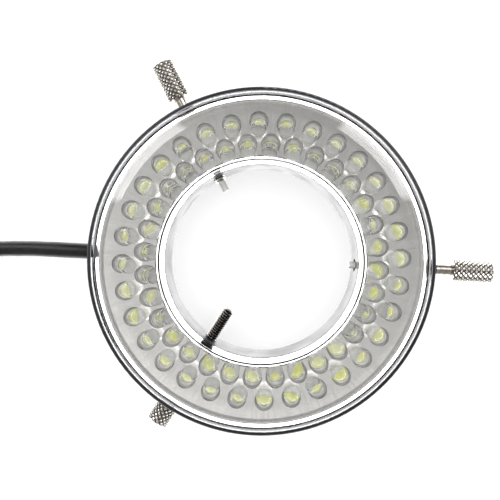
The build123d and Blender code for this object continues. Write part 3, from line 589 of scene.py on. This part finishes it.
# the cord: a free stretch from the grommet, the put-away coil and a free stretch to the plug
CORD_RADIUS = 2.6 * MM
COIL_CENTRE = Vector((-132.0 * MM, -35.9 * MM, 0))
COIL_START_RADIUS = 39.4 * MM
COIL_PITCH = 5.8 * MM
LAYER_PITCH = 5.7 * MM
TURNS_IN = 3.25
TURNS_OUT = 3.5
POINTS_PER_TURN = 24
lead_points = [(-53.83, 2.82, 7.5), (-66.01, 3.46, 7.5), (-79.0, 3.95, 5.0), (-92.0, 3.7, 2.8)]
lead_points += [(-110.8, 3.5, 2.6)]
tail_points = [(-172.85, -55.1, 8.3), (-167.5, -68.0, 5.9), (-157.6, -77.9, 3.5), (-144.7, -83.3, 4.05)]
tail_points += [(-131.7, -83.3, 4.75)]


def coil_points():
    """The coil's turns: in along the floor, up a layer in half a turn, and out again on top."""
    points = []
    rows = round(TURNS_IN * POINTS_PER_TURN), POINTS_PER_TURN // 2, round(TURNS_OUT * POINTS_PER_TURN)
    radius, height, angle = COIL_START_RADIUS, CORD_RADIUS, pi / 2
    steps = [(-COIL_PITCH, 0)] * rows[0] + [(0, 2 * LAYER_PITCH)] * rows[1] + [(COIL_PITCH, 0)] * rows[2]
    outset = 1 / cos(pi / POINTS_PER_TURN)
    for growth, climb in [(0, 0)] + steps:
        radius += growth / POINTS_PER_TURN
        height += climb / POINTS_PER_TURN
        reach = radius * outset
        points.append(COIL_CENTRE + Vector((reach * cos(angle), reach * sin(angle), height)))
        angle += 2 * pi / POINTS_PER_TURN
    return points


def cord_curve(name, points):
    """A round cord along a smooth line through its control points."""
    curve = bpy.data.curves.new(name, "CURVE")
    curve.dimensions = "3D"
    line = curve.splines.new("NURBS")
    line.points.add(len(points) - 1)
    for spot, point in zip(line.points, points):
        spot.co = (*point, 1)
    line.order_u = 3
    line.use_endpoint_u = True
    line.resolution_u = 8
    curve.bevel_depth = CORD_RADIUS
    curve.bevel_resolution = 6
    curve.use_fill_caps = True
    return curve


cord_points = [Vector(p) * MM for p in lead_points] + coil_points() + [Vector(p) * MM for p in tail_points]
cord = piece(
    "cord", cord_curve("cord", cord_points), cord_jacket, "root",
    ("cord_lead", "cord_coil", "cord_tail"),
)

# the clear front cover, a domed ring with a thin wall round the bore
COVER_WALL = 2.0 * MM
COVER_INNER_WALL = 0.9 * MM
COVER_FACE = 1.5 * MM
SHOULDER_RADIUS = 10.0 * MM
OUTER_SHOULDER, INNER_SHOULDER = 30, 20
OUTER_EDGE_RADIUS = 4.6 * MM
INNER_EDGE_RADIUS = 0.73 * MM
FOOT_CHAMFER = 0.35 * MM
CAVITY_ROUNDING = 3.6 * MM
RING_SIDES = 256
SHOULDER_STEPS, INNER_SHOULDER_STEPS = 10, 8
EDGE_STEPS, INNER_EDGE_STEPS = 10, 6
CAVITY_STEPS, CORNER_STEPS = 8, 6


def cover_outline():
    """The cover's section: its face between two shoulders, and the cavity over the LEDs."""
    slope, inner_slope = radians(OUTER_SHOULDER), radians(INNER_SHOULDER)
    face_outer = COVER_RADIUS - OUTER_EDGE_RADIUS * (1 - sin(slope)) - SHOULDER_RADIUS * sin(slope)
    face_inner = BORE_RADIUS + INNER_EDGE_RADIUS * (1 - sin(inner_slope)) + SHOULDER_RADIUS * sin(inner_slope)
    shoulder_height = TOP_HEIGHT - SHOULDER_RADIUS
    points = arc((face_outer, shoulder_height), SHOULDER_RADIUS, 90, 90 - OUTER_SHOULDER, SHOULDER_STEPS)
    end = points[-1]
    centre = (end[0] - OUTER_EDGE_RADIUS * sin(slope), end[1] - OUTER_EDGE_RADIUS * cos(slope))
    points += arc(centre, OUTER_EDGE_RADIUS, 90 - OUTER_SHOULDER, 0, EDGE_STEPS)[1:]
    cavity_outer, cavity_inner = COVER_RADIUS - COVER_WALL, BORE_RADIUS + COVER_INNER_WALL
    cavity_top = TOP_HEIGHT - COVER_FACE
    points += [(COVER_RADIUS, SEAT_HEIGHT), (cavity_outer, SEAT_HEIGHT)]
    outer_corner = (cavity_outer - CAVITY_ROUNDING, cavity_top - CAVITY_ROUNDING)
    points += arc(outer_corner, CAVITY_ROUNDING, 0, 90, CAVITY_STEPS)
    inner_corner = (cavity_inner + COVER_INNER_WALL, cavity_top - COVER_INNER_WALL)
    points += arc(inner_corner, COVER_INNER_WALL, 90, 180, CORNER_STEPS)
    points += [(cavity_inner, SEAT_HEIGHT), (BORE_RADIUS + FOOT_CHAMFER, SEAT_HEIGHT)]
    points += [(BORE_RADIUS, SEAT_HEIGHT + FOOT_CHAMFER)]
    inner_centre = (face_inner, shoulder_height)
    inner = arc(inner_centre, SHOULDER_RADIUS, 90, 90 + INNER_SHOULDER, INNER_SHOULDER_STEPS)
    end = inner[-1]
    centre = (end[0] + INNER_EDGE_RADIUS * sin(inner_slope), end[1] - INNER_EDGE_RADIUS * cos(inner_slope))
    points += arc(centre, INNER_EDGE_RADIUS, 180, 90 + INNER_SHOULDER, INNER_EDGE_STEPS)
    return points + inner[-2::-1]


piece(
    "clear_cover", turned("clear_cover", cover_outline(), RING_SIDES), clear_plastic, "root",
    ["front_cover"],
)

# a trim ring let into the lip, with a small bevel at its outer edge
TRIM_INNER, TRIM_OUTER = 52.42 * MM, 53.08 * MM
TRIM_TOP = 19.1 * MM
TRIM_DEPTH = 0.4 * MM
TRIM_BEVEL = 0.08 * MM
trim_outline = [(TRIM_INNER, TRIM_TOP - TRIM_DEPTH), (TRIM_INNER, TRIM_TOP)]
trim_outline += [(TRIM_OUTER - TRIM_BEVEL, TRIM_TOP), (TRIM_OUTER, TRIM_TOP - TRIM_BEVEL)]
trim_outline += [(TRIM_OUTER, TRIM_TOP - TRIM_DEPTH)]
piece("trim_ring", turned("trim_ring", trim_outline, RING_SIDES), trim_metal, "root")


def band(name, radii, heights):
    """A plain ring between two radii and two heights."""
    corners = [(radii[0], heights[0]), (radii[1], heights[0]), (radii[1], heights[1]), (radii[0], heights[1])]
    return turned(name, corners, RING_SIDES)


# a dark ring that stands beside the cover's inner wall: painted shade, for the shaded gap between the plate's
# inner edge and that wall
GAP_SHADE_RADII = (31.55 * MM, 32.35 * MM)
GAP_SHADE_HEIGHTS = (17.2 * MM, 19.0 * MM)
seat_edge = band("seat_edge", GAP_SHADE_RADII, GAP_SHADE_HEIGHTS)
piece("seat_edge", seat_edge, black_plastic, "root")

# the plate's bright skirt, close inside the cover's outer wall
SKIRT_RADII = (49.9 * MM, 50.1 * MM)
SKIRT_HEIGHTS = (16.6 * MM, 20.0 * MM)
piece("plate_skirt", band("plate_skirt", SKIRT_RADII, SKIRT_HEIGHTS), bright_sheet, "root")

# a white sheet close below the LEDs, that their lenses show
SHEET_RADII = (33.0 * MM, 47.6 * MM)
SHEET_HEIGHTS = (14.2 * MM, 14.4 * MM)
white_sheet = band("white_sheet", SHEET_RADII, SHEET_HEIGHTS)
piece("white_sheet", white_sheet, board_laminate, "root")

# the LEDs: one of each row is made at the +X side, and its ring grows from it
LEDS_PER_ROW = 32
LED_SLANT = radians(29)
LED_FOOT_HEIGHT = 15.9 * MM
LENS_RADIUS = 2.5 * MM
LENS_LENGTH = 8.6 * MM
LENS_FLANGE_RADIUS = 2.9 * MM
LENS_FLANGE_HEIGHT = 1.0 * MM
LENS_EDGE = 0.15 * MM
LENS_SIDES, DOME_STEPS = 32, 12
LEAD_HALF = 0.25 * MM
LEAD_OFFSET = 1.27 * MM
LEG_END = 11.9 * MM
CUP_RADIUS = 0.8 * MM
CUP_FOOT_SHARE = 0.8
CUP_SIDES = 20
CUP_DEPTH = 1.1 * MM
CUP_MOUTH = 0.68 * MM
CUP_BOTTOM = 0.4 * MM
CUP_RECESS = 0.6 * MM
PHOSPHOR_CROWN = 0.14 * MM
CROWN_SHARES = (0.6, 0.7)
BASE_RADIUS = 2.3 * MM
BASE_HEIGHT = 0.3 * MM
BASE_THICKNESS = 0.2 * MM
LED_LEAN = radians(5)
# each row's name, radius, first angle in degrees, height of its cups, and seed
LED_ROWS = [("outer", 43.97 * MM, 1.05, 3.6 * MM, 11), ("inner", 36.97 * MM, 6.7, 3.5 * MM, 23)]


def led_matrix(row_radius):
    """From an LED's own frame, its base at 0 and its axis up, to its place at the +X side of its row."""
    place = Matrix.Translation((row_radius, 0, LED_FOOT_HEIGHT))
    return place @ Matrix.Rotation(-LED_SLANT, 4, "Y") @ Matrix.Rotation(pi / 2, 4, "Z")


def lens_mesh():
    """A solid domed lens with its flange."""
    lens_top = LENS_LENGTH - LENS_RADIUS
    outline = [(0, 0), (LENS_FLANGE_RADIUS - LENS_EDGE, 0), (LENS_FLANGE_RADIUS, LENS_EDGE)]
    outline += [(LENS_FLANGE_RADIUS, LENS_FLANGE_HEIGHT - LENS_EDGE)]
    outline += [(LENS_FLANGE_RADIUS - LENS_EDGE, LENS_FLANGE_HEIGHT)]
    outline += [(LENS_RADIUS, LENS_FLANGE_HEIGHT)]
    outline += arc((0, lens_top), LENS_RADIUS, 0, 90, DOME_STEPS)[:-1] + [(0, LENS_LENGTH)]
    return turned("lens", outline, LENS_SIDES)


def leads_mesh(row_radius, cup_top):
    """The two leads in the lens, one with its cup, and their legs down through the board."""
    cup_low = cup_top - CUP_DEPTH
    cup = [(0, cup_low), (CUP_RADIUS * CUP_FOOT_SHARE, cup_low), (CUP_RADIUS, cup_top)]
    cup += [(CUP_MOUTH, cup_top), (CUP_BOTTOM, cup_top - CUP_RECESS), (0, cup_top - CUP_RECESS)]
    parts = [turned("cup", cup, CUP_SIDES)]
    post_low = (-LEAD_OFFSET - LEAD_HALF, -LEAD_HALF, -LEAD_HALF)
    parts.append(block("post", post_low, (-LEAD_OFFSET + LEAD_HALF, LEAD_HALF, cup_top - CUP_RECESS)))
    bridge_low = (-LEAD_OFFSET, -LEAD_HALF, cup_low)
    parts.append(block("bridge", bridge_low, (0, LEAD_HALF, cup_top - CUP_RECESS)))
    anvil_low = (LEAD_OFFSET - LEAD_HALF, -LEAD_HALF, -LEAD_HALF)
    parts.append(block("anvil", anvil_low, (LEAD_OFFSET + LEAD_HALF, LEAD_HALF, cup_top)))
    matrix = led_matrix(row_radius)
    inside = joined("leads", parts)
    inside.transform(matrix)
    legs = []
    for side in (-1, 1):
        low = (row_radius - LEAD_HALF, side * LEAD_OFFSET - LEAD_HALF, LEG_END)
        high = (row_radius + LEAD_HALF, side * LEAD_OFFSET + LEAD_HALF, LED_FOOT_HEIGHT)
        legs.append(block("leg", low, high))
    return joined("leads", [inside] + legs)


def phosphor_mesh(cup_top):
    """The phosphor that fills the cup, a little crowned."""
    outline = [(0, cup_top - CUP_RECESS), (CUP_BOTTOM, cup_top - CUP_RECESS), (CUP_MOUTH, cup_top)]
    across, up = CROWN_SHARES
    outline += [(CUP_MOUTH * across, cup_top + PHOSPHOR_CROWN * up), (0, cup_top + PHOSPHOR_CROWN)]
    return turned("phosphor", outline, CUP_SIDES)


def base_mesh():
    """The pale disc that a lens shows at its base."""
    outline = [(0, BASE_HEIGHT), (BASE_RADIUS, BASE_HEIGHT), (BASE_RADIUS, BASE_HEIGHT + BASE_THICKNESS)]
    return turned("base", outline + [(0, BASE_HEIGHT + BASE_THICKNESS)], LENS_SIDES)


phosphor_parts = []
for row, row_radius, first_angle, cup_top, seed in LED_ROWS:
    foot = Vector((row_radius, 0, LED_FOOT_HEIGHT))
    spread = {"copies": LEDS_PER_ROW, "first_angle": radians(first_angle), "foot": foot}
    spread |= {"lean": LED_LEAN, "seed": seed}
    lens = lens_mesh()
    lens.transform(led_matrix(row_radius))
    lenses = grown(f"{row}_lenses", RING, lens, finish=led_epoxy, **spread)
    piece(f"{row}_lenses", smoothed(lenses), led_epoxy, "root", [f"{row}_led_lenses"])
    leads = grown(f"{row}_leads", RING, leads_mesh(row_radius, cup_top), finish=tinned_lead, **spread)
    piece(f"{row}_leads", smoothed(leads), tinned_lead, "root", [f"{row}_led_leads"])
    base = base_mesh()
    base.transform(led_matrix(row_radius))
    bases = grown(f"{row}_bases", RING, base, finish=board_laminate, **spread)
    piece(f"{row}_bases", smoothed(bases), board_laminate, "root")
    chip = phosphor_mesh(cup_top)
    chip.transform(led_matrix(row_radius))
    phosphor_parts.append(grown(f"{row}_phosphor", RING, chip, finish=phosphor, **spread))
for row_part, (row, *_) in zip(phosphor_parts, LED_ROWS):
    made = piece(f"{row}_phosphors", smoothed(row_part), phosphor, "root")
    if row == "outer":
        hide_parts("led_phosphors")

# the thumbscrews: a knurled, slotted head and a stud with a plain neck and a thread
SCREW_HEIGHT = 7.5 * MM
# each thumbscrew's side, angle in degrees and distance of its head's inner face from the ring's axis
THUMBSCREWS = [("right", -3.0, 62.4 * MM), ("upper_left", 117.0, 59.3 * MM), ("lower_left", 237.0, 50.0 * MM)]
HEAD_RADIUS = 3.75 * MM
HEAD_LENGTH = 12.7 * MM
KNURL_DEPTH = 0.5 * MM
KNURLS_AROUND, KNURLS_ALONG = 14, 8
KNURL_CREST = 1.25
STEPS_PER_KNURL = 8
HEAD_CHAMFER = 0.25 * MM
SLOT_WIDTH = 0.9 * MM
SLOT_DEPTH = 1.5 * MM
KNURL_SHARP_ANGLE = 20
STUD_RADIUS = 1.95 * MM
STUD_REACH = 30.2 * MM
NECK_LENGTH = 5.5 * MM
NECK_GROOVE = 0.2 * MM
NECK_GROOVE_WIDTH = 0.6 * MM
NECK_OVERLAP = 0.3 * MM
NECK_SINK = 1.0 * MM
NECK_SIDES = 48
THREAD_PITCH = 0.8 * MM
THREAD_DEPTH = 0.42 * MM
THREAD_CREST = 1.15
THREAD_CHAMFER = 0.4 * MM
THREAD_SIDES = 32
STEPS_PER_TURN = 6
STUD_SHARP_ANGLE = 28
# the lower left screw, whose stud and tip take darker copies of their finishes as painted shade
DARK_SIDE = "lower_left"
NOSE_LENGTH = 0.6 * MM
NOSE_RADIUS = 1.1 * MM
NOSE_FLAT_SHARE = 0.6
NOSE_ROUND_SHARES = (0.8, 0.3)
NOSE_SIDES = 32


def seat_matrix(angle, radius):
    """From a thumbscrew's own frame, its head's inner face at 0 and its axis outwards, to its place."""
    outwards = Matrix.Translation((radius, 0, SCREW_HEIGHT)) @ Matrix.Rotation(pi / 2, 4, "Y")
    return Matrix.Rotation(radians(angle), 4, "Z") @ outwards


head_mesh = grown(
    "head", ROD, radius=HEAD_RADIUS, start=0.0, length=HEAD_LENGTH, depth=KNURL_DEPTH,
    around=float(KNURLS_AROUND), along=float(KNURLS_ALONG), crossed=1.0, crest=KNURL_CREST,
    chamfer=HEAD_CHAMFER, sides=STEPS_PER_KNURL * KNURLS_AROUND + 1, rings=STEPS_PER_KNURL * KNURLS_ALONG + 3,
    slot_width=SLOT_WIDTH, slot_depth=SLOT_DEPTH, finish=head_nickel,
)
thread_length = STUD_REACH - NECK_LENGTH - NECK_GROOVE_WIDTH
turns = round(thread_length / THREAD_PITCH)
thread_mesh = grown(
    "thread", ROD, radius=STUD_RADIUS, start=-STUD_REACH, length=thread_length, depth=THREAD_DEPTH,
    around=1.0, along=float(turns), crossed=0.0, crest=THREAD_CREST, chamfer=THREAD_CHAMFER,
    sides=THREAD_SIDES + 1, rings=STEPS_PER_TURN * turns + 3, slot_width=0.0, slot_depth=0.0,
    finish=stud_steel,
)
groove_radius, groove_start = STUD_RADIUS - NECK_GROOVE, -NECK_LENGTH - NECK_GROOVE_WIDTH
neck_end = groove_start - NECK_OVERLAP
neck_outline = [(0, neck_end), (groove_radius - NECK_GROOVE, neck_end), (groove_radius, groove_start)]
neck_outline += [(groove_radius, -NECK_LENGTH), (STUD_RADIUS, -NECK_LENGTH + NECK_GROOVE)]
neck_outline += [(STUD_RADIUS, 0), (STUD_RADIUS, NECK_SINK), (0, NECK_SINK)]
neck_mesh = turned("neck", neck_outline, NECK_SIDES)

for side, angle, face_radius in THUMBSCREWS:
    seat = seat_matrix(angle, face_radius)
    # the lower left stud takes the darker copy of the steel, as painted shade
    steel = dark_steel if side == DARK_SIDE else stud_steel
    head = head_mesh.copy()
    head.transform(seat)
    piece(
        f"{side}_knurled_head", smoothed(head, KNURL_SHARP_ANGLE), head_nickel,
        f"{side}_screw", [f"{side}_screw_head"],
    )
    thread = thread_mesh.copy()
    thread.transform(seat)
    piece(
        f"{side}_thread", smoothed(thread, STUD_SHARP_ANGLE), steel, f"{side}_screw",
        [f"{side}_screw_stud"],
    )
    neck = neck_mesh.copy()
    neck.transform(seat)
    piece(f"{side}_neck", smoothed(neck, STUD_SHARP_ANGLE), neck_steel, f"{side}_screw")

# the lower left screw's tip is short and dark: a dark copy of the nylon, painted shade as on its stud
far_share, near_share = NOSE_ROUND_SHARES
nose = [(0, -STUD_REACH - NOSE_LENGTH)]
nose += [(NOSE_RADIUS * NOSE_FLAT_SHARE, -STUD_REACH - NOSE_LENGTH * far_share)]
nose += [(NOSE_RADIUS, -STUD_REACH - NOSE_LENGTH * near_share), (NOSE_RADIUS, -STUD_REACH + NOSE_LENGTH)]
nose += [(0, -STUD_REACH + NOSE_LENGTH)]
short_nose = turned("worn_tip", nose, NOSE_SIDES)
shaded_place = [(angle, radius) for side, angle, radius in THUMBSCREWS if side == DARK_SIDE][0]
short_nose.transform(seat_matrix(*shaded_place))
worn_tip = smoothed(short_nose, STUD_SHARP_ANGLE)
piece("worn_tip", worn_tip, dark_nylon, f"{DARK_SIDE}_tip", [f"{DARK_SIDE}_screw_tip"])


# the floor, the surroundings and the lamps
FLOOR_COLOUR = (0.5, 0.5, 0.5, 1)
FLOOR_ROUGHNESS = 0.9
FLOOR_GLOW = 0.6
FLOOR_SHINE = 4.2
FLOOR_HALF = 3.0


def floor_finish():
    """Brighter to the camera and to mirrors than the lamps alone make it, so that only shadows show."""
    made = bpy.data.materials.new("floor")
    made.use_nodes = True
    tree = made.node_tree
    shader = tree.nodes["Principled BSDF"]
    shader.inputs["Base Color"].default_value = FLOOR_COLOUR
    shader.inputs["Roughness"].default_value = FLOOR_ROUGHNESS
    path = node(tree, "ShaderNodeLightPath").outputs
    seen = maths(tree, "MAXIMUM", path["Is Camera Ray"], path["Is Transmission Ray"])
    seen_glow = maths(tree, "MULTIPLY", seen, FLOOR_GLOW)
    glow = maths(tree, "MULTIPLY_ADD", path["Is Glossy Ray"], FLOOR_SHINE, seen_glow)
    shader.inputs["Emission Color"].default_value = (1, 1, 1, 1)
    tree.links.new(glow, shader.inputs["Emission Strength"])
    return made


floor_mesh = bpy.data.meshes.new("floor")
spots = [(x * FLOOR_HALF, y * FLOOR_HALF, 0) for x, y in ((-1, -1), (1, -1), (1, 1), (-1, 1))]
floor_mesh.from_pydata(spots, [], [(0, 1, 2, 3)])
floor_mesh.materials.append(floor_finish())
floor = bpy.data.objects.new("floor", floor_mesh)
scene.collection.objects.link(floor)

# two tall soft boxes stand beyond the top of the picture, right and left of its middle
BOX_AZIMUTHS = (40, 141)
BOX_HALF_WIDTH = 17
BOX_EDGE = 3
BOX_TOP, BOX_BOTTOM = 23, 60
BOX_SHINE = 9.0
BOX_SHINE_INSIDE = 0.0
HORIZON_SHINE, HORIZON_SHINE_INSIDE, ZENITH_SHINE = 0.6, 2.4, 0.73
HORIZON_RISE, ZENITH_RISE = 0.35, 0.85
SHINE_SLOPE = 0.85
SLOPE_WAY = (-0.5, -0.8)
LEAST_SHINE = 0.3
WORLD_LEVEL = 1.5


def surroundings():
    """White to the camera. What mirrors see is dimmer overhead, with the soft boxes in it."""
    world = bpy.data.worlds.new("surroundings")
    world.use_nodes = True
    tree = world.node_tree
    path = node(tree, "ShaderNodeLightPath").outputs
    way = node(tree, "ShaderNodeTexCoord").outputs["Generated"]
    parts = node(tree, "ShaderNodeSeparateXYZ", {0: way}).outputs
    up = parts[2]
    # rays that have been through clear pieces see a brighter horizon, and no boxes
    deep = maths(tree, "MINIMUM", path["Transmission Depth"], 1.0)
    levels = {"Factor": deep, "A": HORIZON_SHINE, "B": HORIZON_SHINE_INSIDE}
    horizon = node(tree, "ShaderNodeMix", levels, data_type="FLOAT").outputs[0]
    rising = {"Value": up, "From Min": HORIZON_RISE, "From Max": ZENITH_RISE}
    rising |= {"To Min": horizon, "To Max": ZENITH_SHINE}
    shine = node(tree, "ShaderNodeMapRange", rising).outputs[0]
    slopes = [maths(tree, "MULTIPLY", parts[axis], SLOPE_WAY[axis]) for axis in (0, 1)]
    low_left = maths(tree, "ADD", *slopes)
    shine = maths(tree, "MULTIPLY_ADD", low_left, SHINE_SLOPE, shine)
    shine = maths(tree, "MAXIMUM", shine, LEAST_SHINE)
    flat = node(tree, "ShaderNodeCombineXYZ", {0: parts[0], 1: parts[1]}).outputs[0]
    flat = node(tree, "ShaderNodeVectorMath", {0: flat}, operation="NORMALIZE").outputs[0]
    low_edges = cos(radians(BOX_BOTTOM + BOX_EDGE)), cos(radians(BOX_BOTTOM))
    lower = {"Value": up, "From Min": low_edges[0], "From Max": low_edges[1]}
    high_edges = cos(radians(BOX_TOP)), cos(radians(BOX_TOP - BOX_EDGE))
    upper = {"Value": up, "From Min": high_edges[0], "From Max": high_edges[1]}
    rise = maths(
        tree, "SUBTRACT", node(tree, "ShaderNodeMapRange", lower).outputs[0],
        node(tree, "ShaderNodeMapRange", upper).outputs[0],
    )
    strength = node(
        tree, "ShaderNodeMix", {"Factor": deep, "A": BOX_SHINE, "B": BOX_SHINE_INSIDE}, data_type="FLOAT"
    ).outputs[0]
    for azimuth in BOX_AZIMUTHS:
        middle = (cos(radians(azimuth)), sin(radians(azimuth)), 0)
        product = node(tree, "ShaderNodeVectorMath", {0: flat, 1: middle}, operation="DOT_PRODUCT")
        near = product.outputs["Value"]
        sides = {
            "Value": near,
            "From Min": cos(radians(BOX_HALF_WIDTH + BOX_EDGE)),
            "From Max": cos(radians(BOX_HALF_WIDTH)),
        }
        box = maths(tree, "MULTIPLY", node(tree, "ShaderNodeMapRange", sides).outputs[0], rise)
        shine = maths(tree, "MULTIPLY_ADD", box, strength, shine)
    seen = maths(tree, "MAXIMUM", path["Is Glossy Ray"], path["Is Transmission Ray"])
    mixed = {"Factor": seen, "A": WORLD_LEVEL, "B": shine}
    level = node(tree, "ShaderNodeMix", mixed, data_type="FLOAT").outputs[0]
    whitened = {"Factor": path["Is Camera Ray"], "A": level, "B": 1.0}
    white = node(tree, "ShaderNodeMix", whitened, data_type="FLOAT")
    tree.links.new(white.outputs[0], tree.nodes["Background"].inputs["Strength"])
    tree.nodes["Background"].inputs["Color"].default_value = (1, 1, 1, 1)
    return world


scene.world = surroundings()

LAMP_DISTANCE = 0.7
LAMP_TILT = radians(62)
LAMP_SIZE = (0.3, 0.55)
LAMP_RADIANCE = 2.0
for azimuth in BOX_AZIMUTHS:
    data = bpy.data.lights.new(f"soft_box_{azimuth}", "AREA")
    data.shape = "RECTANGLE"
    data.size, data.size_y = LAMP_SIZE
    data.energy = LAMP_RADIANCE * pi * LAMP_SIZE[0] * LAMP_SIZE[1]
    lamp = bpy.data.objects.new(f"soft_box_{azimuth}", data)
    scene.collection.objects.link(lamp)
    level_way = Vector((cos(radians(azimuth)), sin(radians(azimuth)), 0))
    way = sin(LAMP_TILT) * level_way + Vector((0, 0, cos(LAMP_TILT)))
    lamp.location = way * LAMP_DISTANCE
    lamp.rotation_euler = way.to_track_quat("Z", "Y").to_euler()
    lamp.visible_camera = False
    lamp.visible_glossy = False
